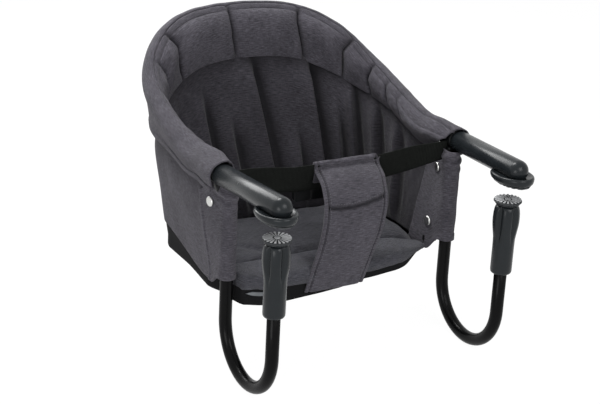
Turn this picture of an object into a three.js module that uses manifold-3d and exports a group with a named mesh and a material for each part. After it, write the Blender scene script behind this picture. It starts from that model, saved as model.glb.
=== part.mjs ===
// Hook-on table chair for a small child: a bent tube hoop carries a padded fabric bucket, and two
// J-shaped hook tubes fold under the arms and clamp a table top between a foot and a screwed-up pad.
// Millimetres, +Z up. The table top is the plane z = 0, the chair opens towards -Y, and the clamp
// screws stand on y = 0.
import * as THREE from 'three';
import { mergeVertices } from 'three/addons/utils/BufferGeometryUtils.js';
import Module from 'manifold-3d';

const wasm = await Module();
wasm.setup();

// Clearances
const SEAT_GAP = 0.3;
const SWIVEL_GAP = 0.4;
const SLIDE_GAP = 0.5;

// Steel tube and arms
const TUBE_DIAMETER = 18;
const TUBE_WALL = 1.5;
const FOOT_HALF_SPACING = 181;
const ARM_AXIS_HEIGHT = 20.5;
const ARM_SPLAY = THREE.MathUtils.degToRad(3.06);
const ARM_DROP = THREE.MathUtils.degToRad(2.43);
const ARM_STRAIGHT = 225;
const SLEEVE_DIAMETER = 29.6;
const SLEEVE_TIP = 26;
const SLEEVE_TIP_WALL = 7;
const SLEEVE_LENGTH = 139;

// Hoop round the back
const HOOP_HALF_WIDTH = 193.5;
const HOOP_RISE_START = 311;
const HOOP_BASE = 16;
const HOOP_ARCH = 208;
const HOOP_RECLINE = THREE.MathUtils.degToRad(34.8);
const HOOP_SQUARENESS = 0.74;
const HOOP_FULLNESS = 0.89;
const HOOP_STEPS = 36;
const HOOP_SIDES = 8;

// Table feet
const SHOE_LENGTH = 76;
const SHOE_WIDTH = 52;
const SHOE_HEIGHT = 14;
const FOOT_PAD_THICKNESS = 3.3;
const FOOT_RIB_HEIGHT = 1.5;
const FOOT_RIB_PITCH = 7;
const FOOT_RIB_WIDTH = 3.6;
const FOOT_RIBS = 9;
const FOOT_SCREW_DIAMETER = 4;
const FOOT_SCREW_REACH = 6.5;

// Folding hooks
const HOOK_HALF_SPACING = 178;
const HOOK_DEPTH = 136;
const HOOK_BEND_LEVEL = -192.5;
const HOOK_STEPS = 24;
const HOOK_SIDES = 10;
const LEG_TOP = -8;
const CLAMP_TUBE_END = -90;
const COLLAR_START = 141;
const COLLAR_WIDTH = 13;
const COLLAR_DIAMETER = 28;
const SOCKET_DIAMETER = 24;
const SOCKET_TOP = -2;
const SOCKET_DEPTH = 43;
const COLLAR_WEB_REACH = 10;
const COLLAR_WEB_LENGTH = 13;
const COLLAR_WEB_BOTTOM = -12;

// Clamp screw
const PAD_TOP = -23;
const PAD_DIAMETER = 38.6;
const PAD_THICKNESS = 4;
const PAD_RIBS = 14;
const PAD_RIB_HEIGHT = 1.2;
const PAD_RIB_WIDTH = 2.6;
const PAD_BOSS_DIAMETER = 9;
const PLATE_DIAMETER = 34;
const PLATE_THICKNESS = 3;
const STEM_DIAMETER = 12;
const STEM_LENGTH = 6;
const GRIP_GAP = 1;
const GRIP_LENGTH = 100.6;
const GRIP_RIDGES = 5;
const RIDGED_LENGTH = 48;
const GRIP_CORE = 17;
const SKIRT_DIAMETER = 30;
const RIDGE_HEIGHT = 4.5;
const SPINDLE_DIAMETER = 10;
const SPINDLE_SEAT = 7;
const SPINDLE_LENGTH = 124;
const INSERT_LENGTH = 30;
const INSERT_FLANGE = 2;

// Fabric bucket
const RIM_DIAMETER = 28;
const RIM_SEAM = 1.2;
const PANEL_THICKNESS = 5;
const PANEL_BULGE = 7;
const PANEL_PADDING = 12;
const BACK_FOLDS = 7;
const FOLD_DEPTH = 3;
const SIDE_FOLDS = 3;
const BACK_SHARE = 0.44;
const COLLAR_BAND_HEIGHT = 68;
const COLLAR_BAND_THICKNESS = 13;
const COLLAR_DARTS = 5;
const CUFF_WALL = 4.5;
const CUFF_SWEEP = THREE.MathUtils.degToRad(190);

// Seat
const SEAT_HALF_WIDTH = 160;
const SEAT_FRONT = 161;
const SEAT_REAR = 342;
const SEAT_CORNER = 72;
const SKIRT_SPREAD = 24;
const SKIRT_REAR_SPREAD = 4;
const SKIRT_CORNER = 36;
const SEAT_UNDERSIDE = -160;
const TRAY_HEIGHT = 18;
const TRAY_WALL = 3;
const TRAY_FLOOR = 2;
const BOARD_THICKNESS = 4;
const CUSHION_THICKNESS = 15;
const CUSHION_CROWN = 7;
const LIP_FRONT = 106;
const LIP_BOW = 18;
const LIP_HALF_WIDTH = 158;
const LIP_THICKNESS = 15;
const LIP_TOP = -133;
const BINDING_HEIGHT = 11;
const BINDING_THICKNESS = 5;

// Leg sleeves and gussets
const LEG_SLEEVE_BOTTOM = -134;
const LEG_SLEEVE_TOP = -14.5;
const LEG_SLEEVE_WALL = 3.2;
const LEG_SLEEVE_PLEATS = 7;
const LEG_SLEEVE_PLEAT_DEPTH = 0.9;
const GUSSET_THICKNESS = 4;
const GUSSET_OFFSET = 2;
const GUSSET_TOP_SHARE = 0.14;
const GUSSET_DEPTH = 28;

// Straps and press studs
const BELT_BACK = 169;
const BELT_WIDTH = 36;
const BELT_THICKNESS = 2.4;
const BELT_MIDDLE = -21;
const BELT_RISE = 14;
const BELT_LEVEL_HALF = 62;
const STRAP_WIDTH = 94;
const STRAP_THICKNESS = 5;
const STRAP_TOP_SHIFT = 15;
const STRAP_FOOT_SHIFT = -24;
const STRAP_BACK_LENGTH = 26;
const STRAP_FOOT = -150;
const STRAP_BOW = 3;
const BUCKLE_WIDTH = 26;
const BUCKLE_HEIGHT = 24;
const BUCKLE_THICKNESS = 8;
const BUCKLE_SHIFT = -34;
const BUCKLE_MIDDLE = -43;
const STUD_DIAMETER = 12;
const STUD_SHANK = 5;
const STUD_CAP = 1.6;
const STUD_SETBACK = 10;
const STUD_SHARES = { upper: 0.2, lower: 0.8 };

// Finishes
const FINISH = {
  fabric: { color: 0x4b4a52, roughness: 0.95, metalness: 0 },
  black_fabric: { color: 0x1b1b1e, roughness: 0.9, metalness: 0 },
  webbing: { color: 0x141416, roughness: 0.8, metalness: 0 },
  slate_plastic: { color: 0x363b3e, roughness: 0.45, metalness: 0 },
  black_plastic: { color: 0x121213, roughness: 0.3, metalness: 0 },
  black_steel: { color: 0x0b0b0c, roughness: 0.22, metalness: 0.4 },
  rubber: { color: 0x4a4d4f, roughness: 0.8, metalness: 0 },
  steel: { color: 0xc4c5c6, roughness: 0.3, metalness: 1 },
  board: { color: 0x2a2a2c, roughness: 0.7, metalness: 0 },
};

const SIDES = [['left', -1], ['right', 1]];
const ROUND_SIDES = 16;
const chair = new THREE.Group();

function addMesh(parent, name, geometry, finish) {
  const mesh = new THREE.Mesh(geometry, new THREE.MeshStandardMaterial(FINISH[finish]));
  mesh.name = name;
  parent.add(mesh);
  return mesh;
}

// A polygon whose flats, not its corners, touch the given radius.
function around(radius, sides) {
  return radius / Math.cos(Math.PI / sides);
}

function solidOf(geometry) {
  const bare = geometry.clone();
  bare.deleteAttribute('normal');
  bare.deleteAttribute('uv');
  const merged = mergeVertices(bare, 1e-4);
  return new wasm.Manifold(new wasm.Mesh({
    numProp: 3,
    vertProperties: new Float32Array(merged.attributes.position.array),
    triVerts: new Uint32Array(merged.index.array),
  }));
}

function geometryOf(solid) {
  const mesh = solid.getMesh();
  const geometry = new THREE.BufferGeometry();
  geometry.setAttribute('position', new THREE.BufferAttribute(mesh.vertProperties, 3));
  geometry.setIndex(new THREE.BufferAttribute(mesh.triVerts, 1));
  geometry.computeVertexNormals();
  return geometry;
}

function joined(...geometries) {
  return geometryOf(geometries.map(solidOf).reduce((whole, next) => whole.add(next)));
}

function cut(geometry, ...tools) {
  return geometryOf(tools.map(solidOf).reduce((rest, tool) => rest.subtract(tool), solidOf(geometry)));
}

function common(geometry, other) {
  return geometryOf(solidOf(geometry).intersect(solidOf(other)));
}

// Upright cylinder between two levels, on the line x, y.
function post(radius, bottom, top, x = 0, y = 0, sides = ROUND_SIDES) {
  const geometry = new THREE.CylinderGeometry(radius, radius, top - bottom, sides);
  geometry.rotateX(Math.PI / 2);
  return geometry.translate(x, y, (top + bottom) / 2);
}

function block(low, high) {
  const size = high.clone().sub(low);
  const middle = high.clone().add(low).multiplyScalar(0.5);
  return new THREE.BoxGeometry(size.x, size.y, size.z).translate(middle.x, middle.y, middle.z);
}

// Round body about +Z from [radius, level] pairs that start and end on the axis, or close.
function turned(profile, sides = ROUND_SIDES) {
  const points = profile.map(([radius, level]) => new THREE.Vector2(radius, level));
  if (THREE.ShapeUtils.area(points) < 0) {
    points.reverse();
  }
  return new THREE.LatheGeometry(points, sides).rotateX(Math.PI / 2);
}

// Closed body through rings of points, with each end closed over the ring's middle.
function loft(rings) {
  const count = rings[0].length;
  const points = rings.flat();
  const faces = [];
  for (let row = 1; row < rings.length; row += 1) {
    for (let i = 0; i < count; i += 1) {
      const near = (row - 1) * count;
      const j = (i + 1) % count;
      faces.push(near + i, near + j, near + count + j);
      faces.push(near + i, near + count + j, near + count + i);
    }
  }
  const ends = [[0, true], [(rings.length - 1) * count, false]];
  for (const [start, first] of ends) {
    const ring = points.slice(start, start + count);
    const middle = ring.reduce((sum, p) => sum.add(p), new THREE.Vector3()).divideScalar(count);
    const hub = points.push(middle) - 1;
    for (let i = 0; i < count; i += 1) {
      const j = (i + 1) % count;
      const edge = first ? [start + j, start + i] : [start + i, start + j];
      faces.push(hub, ...edge);
    }
  }
  return facingOut(points, faces);
}

// Sheet of even thickness: middle(u, v) is a point of its middle surface, across(u, v) its normal.
function sheet(columns, rows, middle, across, thickness) {
  const points = [];
  for (const side of [0.5, -0.5]) {
    for (let column = 0; column <= columns; column += 1) {
      for (let row = 0; row <= rows; row += 1) {
        const u = column / columns;
        const v = row / rows;
        const reach = side * thickness(u, v);
        points.push(middle(u, v).addScaledVector(across(u, v), reach));
      }
    }
  }
  const tall = rows + 1;
  const back = (columns + 1) * tall;
  const at = (column, row) => column * tall + row;
  const faces = [];
  const quad = (a, b, c, d) => faces.push(a, b, c, a, c, d);
  for (let column = 0; column < columns; column += 1) {
    for (let row = 0; row < rows; row += 1) {
      const a = at(column, row);
      const b = at(column + 1, row);
      const c = at(column + 1, row + 1);
      const d = at(column, row + 1);
      quad(a, b, c, d);
      quad(back + a, back + d, back + c, back + b);
    }
  }
  for (let column = 0; column < columns; column += 1) {
    const [a, b] = [at(column, 0), at(column + 1, 0)];
    const [c, d] = [at(column, rows), at(column + 1, rows)];
    quad(a, back + a, back + b, b);
    quad(c, d, back + d, back + c);
  }
  for (let row = 0; row < rows; row += 1) {
    const [a, b] = [at(0, row), at(0, row + 1)];
    const [c, d] = [at(columns, row), at(columns, row + 1)];
    quad(a, b, back + b, back + a);
    quad(c, back + c, back + d, d);
  }
  return facingOut(points, faces);
}

function facingOut(points, faces) {
  let volume = 0;
  for (let i = 0; i < faces.length; i += 3) {
    const [a, b, c] = [points[faces[i]], points[faces[i + 1]], points[faces[i + 2]]];
    volume += a.dot(b.clone().cross(c));
  }
  const turnedFaces = volume < 0 ? faces.slice().reverse() : faces;
  const geometry = new THREE.BufferGeometry().setFromPoints(points);
  geometry.setIndex(turnedFaces);
  geometry.computeVertexNormals();
  return geometry;
}

function roundSection(radius, sides) {
  const points = [];
  for (let i = 0; i < sides; i += 1) {
    const angle = (2 * Math.PI * i) / sides;
    points.push(new THREE.Vector2(radius * Math.cos(angle), radius * Math.sin(angle)));
  }
  return points;
}

// Pipe along a curve, open at both ends.
function pipe(curve, outer, bore, steps, sides) {
  const section = new THREE.Shape(roundSection(outer, sides));
  section.holes.push(new THREE.Path(roundSection(bore, sides)));
  return new THREE.ExtrudeGeometry(section, { steps, extrudePath: curve, bevelEnabled: false });
}

// Arms: the axis of each arm, from its place in front of or behind the foot
function armPoint(sign, y) {
  const x = FOOT_HALF_SPACING + y * Math.tan(ARM_SPLAY);
  return new THREE.Vector3(sign * x, y, ARM_AXIS_HEIGHT - y * Math.tan(ARM_DROP));
}

function armDirection(sign) {
  return armPoint(sign, 1).sub(armPoint(sign, 0)).normalize();
}

// Lays a body that was turned about +Z along the arm, with its level 0 at the foot.
function alongArm(geometry, sign) {
  const turn = new THREE.Quaternion().setFromUnitVectors(new THREE.Vector3(0, 0, 1), armDirection(sign));
  const start = armPoint(sign, 0);
  return geometry.applyQuaternion(turn).translate(start.x, start.y, start.z);
}

function archPoint(sign, degrees) {
  const angle = THREE.MathUtils.degToRad(degrees);
  const rise = HOOP_ARCH * Math.sin(angle) ** HOOP_FULLNESS;
  return new THREE.Vector3(
    sign * HOOP_HALF_WIDTH * Math.cos(angle) ** HOOP_SQUARENESS,
    HOOP_RISE_START + rise * Math.cos(HOOP_RECLINE),
    HOOP_BASE + rise * Math.sin(HOOP_RECLINE),
  );
}

function hoopHalf(sign) {
  const tip = SLEEVE_TIP_WALL - SLEEVE_TIP;
  const straight = [tip, 0.3 * ARM_STRAIGHT, 0.55 * ARM_STRAIGHT, 0.78 * ARM_STRAIGHT, ARM_STRAIGHT];
  const arch = [22, 45, 68];
  return [
    ...straight.map((y) => armPoint(sign, y)),
    ...arch.map((degrees) => archPoint(sign, degrees)),
  ];
}

const hoopTop = new THREE.Vector3(
  0,
  HOOP_RISE_START + HOOP_ARCH * Math.cos(HOOP_RECLINE),
  HOOP_BASE + HOOP_ARCH * Math.sin(HOOP_RECLINE),
);
const hoopCurve = new THREE.CatmullRomCurve3([...hoopHalf(-1), hoopTop, ...hoopHalf(1).reverse()]);
hoopCurve.arcLengthDivisions = 800;

// The part of the hoop that the fabric rim covers, from the first step behind the front flap
const hoopStep = hoopCurve.getLength() / HOOP_STEPS;
const collarEnd = COLLAR_START + COLLAR_WIDTH + SLEEVE_TIP - SLEEVE_TIP_WALL;
const rimSkip = Math.ceil((collarEnd + GUSSET_DEPTH) / hoopStep);

class RimStretch extends THREE.Curve {
  getPoint(t, target = new THREE.Vector3()) {
    const from = rimSkip / HOOP_STEPS;
    return hoopCurve.getPointAt(THREE.MathUtils.lerp(from, 1 - from, t), target);
  }
}
const rimCurve = new RimStretch();

const tubeRadius = TUBE_DIAMETER / 2;
const tubeBore = tubeRadius - TUBE_WALL;
const sleeveRadius = SLEEVE_DIAMETER / 2;

function addHoop() {
  const tube = pipe(hoopCurve, tubeRadius, tubeBore, HOOP_STEPS, HOOP_SIDES);
  addMesh(chair, 'hoop_tube', tube, 'black_steel');
  const bore = around(tubeRadius + SLIDE_GAP, 10);
  const rim = pipe(rimCurve, RIM_DIAMETER / 2, bore, HOOP_STEPS - 2 * rimSkip, 10);
  addMesh(chair, 'rim_sleeve', rim, 'fabric');
}

// Arm sleeve: a moulded tube with a domed tip, slid over the end of the hoop
function sleeveBody(sign) {
  const bore = around(tubeRadius + SEAT_GAP, ROUND_SIDES);
  const boreEnd = SLEEVE_TIP_WALL - SLEEVE_TIP - SEAT_GAP;
  const profile = [[0, -SLEEVE_TIP]];
  for (let step = 1; step <= 4; step += 1) {
    const angle = (Math.PI / 2) * (step / 4);
    const level = sleeveRadius * (1 - Math.cos(angle)) - SLEEVE_TIP;
    profile.push([sleeveRadius * Math.sin(angle), level]);
  }
  profile.push([sleeveRadius, SLEEVE_LENGTH]);
  profile.push([bore, SLEEVE_LENGTH]);
  profile.push([bore, boreEnd]);
  profile.push([0, boreEnd]);
  return alongArm(turned(profile), sign);
}

// Oval outline of a foot, drawn in at every side by inset
function footOval(inset) {
  const shape = new THREE.Shape();
  shape.absellipse(0, 0, SHOE_WIDTH / 2 - inset, SHOE_LENGTH / 2 - inset, 0, 2 * Math.PI);
  return shape.getPoints(7).slice(0, -1);
}

function ovalRing(inset, level) {
  return footOval(inset).map((p) => new THREE.Vector3(p.x, p.y, level));
}

function footScrew() {
  const head = FOOT_PAD_THICKNESS + SEAT_GAP;
  const radius = FOOT_SCREW_DIAMETER / 2;
  return turned([
    [0, head],
    [radius + 1.6, head],
    [radius, head + 1.6],
    [radius, head + FOOT_SCREW_REACH],
    [0, head + FOOT_SCREW_REACH],
  ], 12);
}

function footPad() {
  const base = FOOT_RIB_HEIGHT;
  const plate = loft([ovalRing(5, base), ovalRing(4, FOOT_PAD_THICKNESS)]);
  const ribs = [];
  for (let i = 0; i < FOOT_RIBS; i += 1) {
    const y = (i - (FOOT_RIBS - 1) / 2) * FOOT_RIB_PITCH;
    const low = new THREE.Vector3(-SHOE_WIDTH / 2, y - FOOT_RIB_WIDTH / 2, 0);
    const high = new THREE.Vector3(SHOE_WIDTH / 2, y + FOOT_RIB_WIDTH / 2, base + 0.5);
    ribs.push(block(low, high));
  }
  const ribField = common(joined(...ribs), loft([ovalRing(7, -1), ovalRing(7, FOOT_PAD_THICKNESS)]));
  return joined(plate, ribField);
}

function footShoe(sign) {
  const bottom = FOOT_PAD_THICKNESS + SEAT_GAP;
  const dish = loft([
    ovalRing(5, bottom),
    ovalRing(1, bottom + 3),
    ovalRing(0, bottom + 6.5),
    ovalRing(1.2, bottom + SHOE_HEIGHT - 5),
    ovalRing(4, bottom + SHOE_HEIGHT - 4),
    ovalRing(8, bottom + SHOE_HEIGHT - 5.5),
  ]);
  const sides = 24;
  const clear = around(sleeveRadius + SEAT_GAP, sides);
  const arm = alongArm(post(clear, -3 * SLEEVE_TIP, SLEEVE_LENGTH, 0, 0, sides), sign);
  return cut(dish.translate(sign * FOOT_HALF_SPACING, 0, 0), arm);
}

function addArm(name, sign) {
  const screw = footScrew().translate(sign * FOOT_HALF_SPACING, 0, 0);
  const hole = around(FOOT_SCREW_DIAMETER / 2 + SEAT_GAP, ROUND_SIDES);
  const pad = FOOT_PAD_THICKNESS;
  const tooth = post(hole, pad - 1, pad + FOOT_SCREW_REACH + 2 * SEAT_GAP, sign * FOOT_HALF_SPACING);
  const sink = post(hole + 1.8, pad - 1, pad + 2 * SEAT_GAP + 1.6, sign * FOOT_HALF_SPACING);
  addMesh(chair, `${name}_arm_sleeve`, cut(sleeveBody(sign), tooth), 'slate_plastic');
  addMesh(chair, `${name}_foot_shoe`, cut(footShoe(sign), tooth, sink), 'slate_plastic');
  addMesh(chair, `${name}_foot_screw`, screw, 'steel');
  const rubber = addMesh(chair, `${name}_foot_pad`, footPad(), 'rubber');
  rubber.position.x = sign * FOOT_HALF_SPACING;
}

// Hook: hinge collar round the arm tube, J tube, leg sleeve
function hingeCollar(sign) {
  const bore = around(tubeRadius + SEAT_GAP, ROUND_SIDES);
  const legBore = around(tubeRadius + SEAT_GAP, ROUND_SIDES);
  const ring = alongArm(post(COLLAR_DIAMETER / 2, COLLAR_START, COLLAR_START + COLLAR_WIDTH), sign);
  const socket = post(SOCKET_DIAMETER / 2, SOCKET_TOP - SOCKET_DEPTH, SOCKET_TOP, 0, HOOK_DEPTH);
  const leg = sign * HOOK_HALF_SPACING;
  const axis = armPoint(sign, COLLAR_START);
  const low = Math.min(leg, axis.x) - COLLAR_WEB_REACH;
  const high = Math.max(leg, axis.x) + COLLAR_WEB_REACH;
  const back = COLLAR_START + COLLAR_WEB_LENGTH;
  const web = block(
    new THREE.Vector3(low, COLLAR_START, COLLAR_WEB_BOTTOM),
    new THREE.Vector3(high, back, axis.z - tubeRadius),
  );
  const bridge = block(
    new THREE.Vector3(low, HOOK_DEPTH, COLLAR_WEB_BOTTOM),
    new THREE.Vector3(high, back, SOCKET_TOP),
  );
  const body = joined(ring, socket.translate(leg, 0, 0), web, bridge);
  const through = alongArm(post(bore, 0, 2 * ARM_STRAIGHT), sign);
  const legHole = post(legBore, SOCKET_TOP - 2 * SOCKET_DEPTH, LEG_TOP + SEAT_GAP, leg, HOOK_DEPTH);
  return cut(body, through, legHole);
}

class HookLine extends THREE.CurvePath {
  constructor() {
    super();
    const radius = HOOK_DEPTH / 2;
    const turnEnd = new THREE.Vector3(0, 0, HOOK_BEND_LEVEL);
    const turnStart = new THREE.Vector3(0, HOOK_DEPTH, HOOK_BEND_LEVEL);
    const handle = (4 / 3) * Math.tan(Math.PI / 8) * radius;
    const low = new THREE.Vector3(0, radius, HOOK_BEND_LEVEL - radius);
    const down = new THREE.Vector3(0, 0, -handle);
    const forward = new THREE.Vector3(0, handle, 0);
    this.add(new THREE.LineCurve3(new THREE.Vector3(0, HOOK_DEPTH, LEG_TOP), turnStart));
    const legHandles = [turnStart.clone().add(down), low.clone().add(forward)];
    const clampHandles = [low.clone().sub(forward), turnEnd.clone().add(down)];
    this.add(new THREE.CubicBezierCurve3(turnStart, ...legHandles, low));
    this.add(new THREE.CubicBezierCurve3(low, ...clampHandles, turnEnd));
    this.add(new THREE.LineCurve3(turnEnd, new THREE.Vector3(0, 0, CLAMP_TUBE_END)));
  }
}

function legSleeve() {
  const reach = SOCKET_DIAMETER / 2 + SEAT_GAP + LEG_SLEEVE_WALL;
  const levels = [0, 0.04, 0.1, 0.3, 0.55, 0.8, 0.93, 1];
  const swell = [0, 0.8, 0, 0.3, 0.6, 0.8, 0.5, -0.2];
  const rings = levels.map((share, row) => {
    const z = THREE.MathUtils.lerp(LEG_SLEEVE_BOTTOM, LEG_SLEEVE_TOP, share);
    const corners = 3 * LEG_SLEEVE_PLEATS;
    return roundSection(1, corners).map((p, i) => {
      const pleat = share * LEG_SLEEVE_PLEAT_DEPTH * Math.cos((2 * Math.PI * i) / 3);
      const radius = reach + swell[row] + pleat - LEG_SLEEVE_PLEAT_DEPTH;
      return new THREE.Vector3(radius * p.x, HOOK_DEPTH + radius * p.y, z);
    });
  });
  const legHole = post(around(tubeRadius + SEAT_GAP, 12), 2 * LEG_SLEEVE_BOTTOM, 0, 0, HOOK_DEPTH, 12);
  const socketBottom = SOCKET_TOP - SOCKET_DEPTH - SEAT_GAP;
  const socketHole = post(around(SOCKET_DIAMETER / 2 + SEAT_GAP, 16), socketBottom, 0, 0, HOOK_DEPTH);
  return cut(loft(rings), legHole, socketHole);
}

function threadInsert() {
  const outer = tubeBore * Math.cos(Math.PI / HOOK_SIDES) - SEAT_GAP;
  const bore = around(SPINDLE_DIAMETER / 2 + SWIVEL_GAP, ROUND_SIDES);
  const top = CLAMP_TUBE_END + SEAT_GAP + INSERT_FLANGE;
  const seat = CLAMP_TUBE_END + SEAT_GAP;
  const bottom = CLAMP_TUBE_END - INSERT_LENGTH;
  return turned([
    [bore, bottom],
    [outer, bottom],
    [outer, seat],
    [tubeRadius, seat],
    [tubeRadius, top],
    [bore, top],
    [bore, bottom],
  ]);
}

// Clamp: rubber pad on a swivelling plate, twist grip with its screw spindle
const plateTop = PAD_TOP - PAD_THICKNESS - SEAT_GAP;
const gripTop = plateTop - PLATE_THICKNESS - GRIP_GAP;
const gripBottom = gripTop - GRIP_LENGTH;
const gripCoreEnd = gripTop - GRIP_CORE;

function clampPad() {
  const face = PAD_TOP - PAD_RIB_HEIGHT;
  const disc = post(PAD_DIAMETER / 2, PAD_TOP - PAD_THICKNESS, face, 0, 0, 28);
  const boss = post(PAD_BOSS_DIAMETER / 2, face - 0.5, PAD_TOP, 0, 0, 12);
  const ribs = [];
  for (let i = 0; i < PAD_RIBS; i += 1) {
    const low = new THREE.Vector3(PAD_BOSS_DIAMETER / 2 + 2, -PAD_RIB_WIDTH / 2, face - 0.5);
    const high = new THREE.Vector3(PAD_DIAMETER / 2 - 1, PAD_RIB_WIDTH / 2, PAD_TOP);
    ribs.push(block(low, high).rotateZ((2 * Math.PI * i) / PAD_RIBS));
  }
  return joined(disc, boss, ...ribs);
}

function padPlate() {
  const stem = STEM_DIAMETER / 2;
  const plate = PLATE_DIAMETER / 2;
  const stemEnd = gripTop - STEM_LENGTH;
  return turned([
    [0, plateTop],
    [plate, plateTop],
    [plate, plateTop - PLATE_THICKNESS * 0.6],
    [plate - 1.2, plateTop - PLATE_THICKNESS],
    [stem, plateTop - PLATE_THICKNESS],
    [stem, stemEnd],
    [0, stemEnd],
  ], 14);
}

// One level of the grip: a round core with ridges that run down it
function gripRing(depth, core, ridge) {
  const corners = GRIP_RIDGES * 6;
  return roundSection(1, corners).map((p, i) => {
    const lobe = 1 - Math.abs(Math.sin((Math.PI * i) / 6));
    const radius = core + ridge * RIDGE_HEIGHT * lobe ** 2;
    return new THREE.Vector3(radius * p.x, radius * p.y, gripTop - depth);
  });
}

function twistGrip() {
  const skirt = SKIRT_DIAMETER / 2;
  const body = loft([
    gripRing(0, skirt + 0.5, 0),
    gripRing(2, skirt + 2, 0.2),
    gripRing(0.25 * RIDGED_LENGTH, skirt + 2, 0.8),
    gripRing(0.5 * RIDGED_LENGTH, skirt + 1.5, 1),
    gripRing(0.75 * RIDGED_LENGTH, skirt + 0.6, 0.65),
    gripRing(RIDGED_LENGTH, skirt, 0.2),
    gripRing(1.17 * RIDGED_LENGTH, skirt, 0),
    gripRing(GRIP_LENGTH - 4, skirt, 0),
    gripRing(GRIP_LENGTH - 1.2, skirt - 0.6, 0),
    gripRing(GRIP_LENGTH, skirt - 2, 0),
  ]);
  const tubeHole = post(around(tubeRadius + SLIDE_GAP, ROUND_SIDES), gripBottom - 10, gripCoreEnd);
  const spindleHole = post(
    around(SPINDLE_DIAMETER / 2 + SEAT_GAP, ROUND_SIDES),
    gripCoreEnd - 1,
    gripCoreEnd + SPINDLE_SEAT + SEAT_GAP,
  );
  const stemHole = post(
    around(STEM_DIAMETER / 2 + SWIVEL_GAP, 14),
    gripTop - STEM_LENGTH - SEAT_GAP,
    gripTop + 5,
    0,
    0,
    14,
  );
  return cut(body, tubeHole, spindleHole, stemHole);
}

function spindle() {
  const radius = SPINDLE_DIAMETER / 2;
  const top = gripCoreEnd + SPINDLE_SEAT;
  const bottom = top - SPINDLE_LENGTH;
  return turned([
    [0, bottom],
    [radius - 1.5, bottom],
    [radius, bottom + 1.5],
    [radius, top],
    [0, top],
  ], 12);
}

function addHook(name, sign) {
  addMesh(chair, `${name}_hinge_collar`, hingeCollar(sign), 'black_plastic');
  const hook = new THREE.Group();
  hook.position.x = sign * HOOK_HALF_SPACING;
  chair.add(hook);
  const tube = pipe(new HookLine(), tubeRadius, tubeBore, HOOK_STEPS, HOOK_SIDES);
  addMesh(hook, `${name}_hook_tube`, tube, 'black_steel');
  addMesh(hook, `${name}_leg_sleeve`, legSleeve(), 'fabric');
  addMesh(hook, `${name}_thread_insert`, threadInsert(), 'black_plastic');
  addMesh(hook, `${name}_clamp_pad`, clampPad(), 'rubber');
  addMesh(hook, `${name}_pad_plate`, padPlate(), 'slate_plastic');
  addMesh(hook, `${name}_twist_grip`, twistGrip(), 'slate_plastic');
  addMesh(hook, `${name}_clamp_spindle`, spindle(), 'steel');
}

// Seat outline in plan: straight sides, two round rear corners, drawn in by inset
const SEAT_PLAN = { half: SEAT_HALF_WIDTH, rear: SEAT_REAR, corner: SEAT_CORNER };

// The outer cover hangs straighter than the lining and ends wider than the seat.
const SKIRT_PLAN = {
  half: SEAT_HALF_WIDTH + SKIRT_SPREAD,
  rear: SEAT_REAR + SKIRT_REAR_SPREAD,
  corner: SKIRT_CORNER,
};

function seatOutline(inset, plan = SEAT_PLAN) {
  const half = plan.half - inset;
  const rear = plan.rear - inset;
  const corner = Math.max(plan.corner - inset, 8);
  const shape = new THREE.Shape();
  shape.moveTo(-half, SEAT_FRONT + inset);
  shape.lineTo(half, SEAT_FRONT + inset);
  shape.lineTo(half, rear - corner);
  shape.absarc(half - corner, rear - corner, corner, 0, Math.PI / 2);
  shape.absarc(corner - half, rear - corner, corner, Math.PI / 2, Math.PI);
  shape.closePath();
  return shape;
}

function slab(outline, bottom, height) {
  const settings = { depth: height, bevelEnabled: false, curveSegments: 8 };
  return new THREE.ExtrudeGeometry(outline, settings).translate(0, 0, bottom);
}

const trayTop = SEAT_UNDERSIDE + TRAY_HEIGHT;
const boardBottom = SEAT_UNDERSIDE + TRAY_FLOOR + SEAT_GAP;
const cushionBottom = boardBottom + BOARD_THICKNESS + SEAT_GAP;

function seatRing(inset, level) {
  const points = seatOutline(inset).getSpacedPoints(36).slice(0, -1);
  return points.map((p) => new THREE.Vector3(p.x, p.y, level));
}

function seatCushion() {
  const side = TRAY_WALL / 2 + SEAT_GAP;
  const top = cushionBottom + CUSHION_THICKNESS;
  return loft([
    seatRing(side + 4, cushionBottom),
    seatRing(side, cushionBottom + 0.35 * CUSHION_THICKNESS),
    seatRing(side + 1, cushionBottom + 0.6 * CUSHION_THICKNESS),
    seatRing(side + 7, top - 2),
    seatRing(side + 22, top + 0.35 * CUSHION_CROWN),
    seatRing(side + 48, top + 0.8 * CUSHION_CROWN),
    seatRing(side + 74, top + CUSHION_CROWN),
  ]);
}

function addSeat() {
  const wall = TRAY_WALL / 2;
  const outer = slab(seatOutline(-wall, SKIRT_PLAN), SEAT_UNDERSIDE, TRAY_HEIGHT);
  const hollow = slab(seatOutline(wall), SEAT_UNDERSIDE + TRAY_FLOOR, TRAY_HEIGHT);
  addMesh(chair, 'seat_under_cover', cut(outer, hollow), 'black_fabric');
  const board = slab(seatOutline(wall + SEAT_GAP), boardBottom, BOARD_THICKNESS);
  addMesh(chair, 'seat_board', board, 'board');
  addMesh(chair, 'seat_cushion', seatCushion(), 'fabric');
  addMesh(chair, 'seat_front_lip', frontLip(), 'fabric');
  addMesh(chair, 'seat_front_binding', frontBinding(), 'black_fabric');
}

function lipFront(x) {
  return LIP_FRONT + LIP_BOW * (x / LIP_HALF_WIDTH) ** 2;
}

const lipBack = SEAT_FRONT - TRAY_WALL / 2 - SEAT_GAP;

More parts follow.
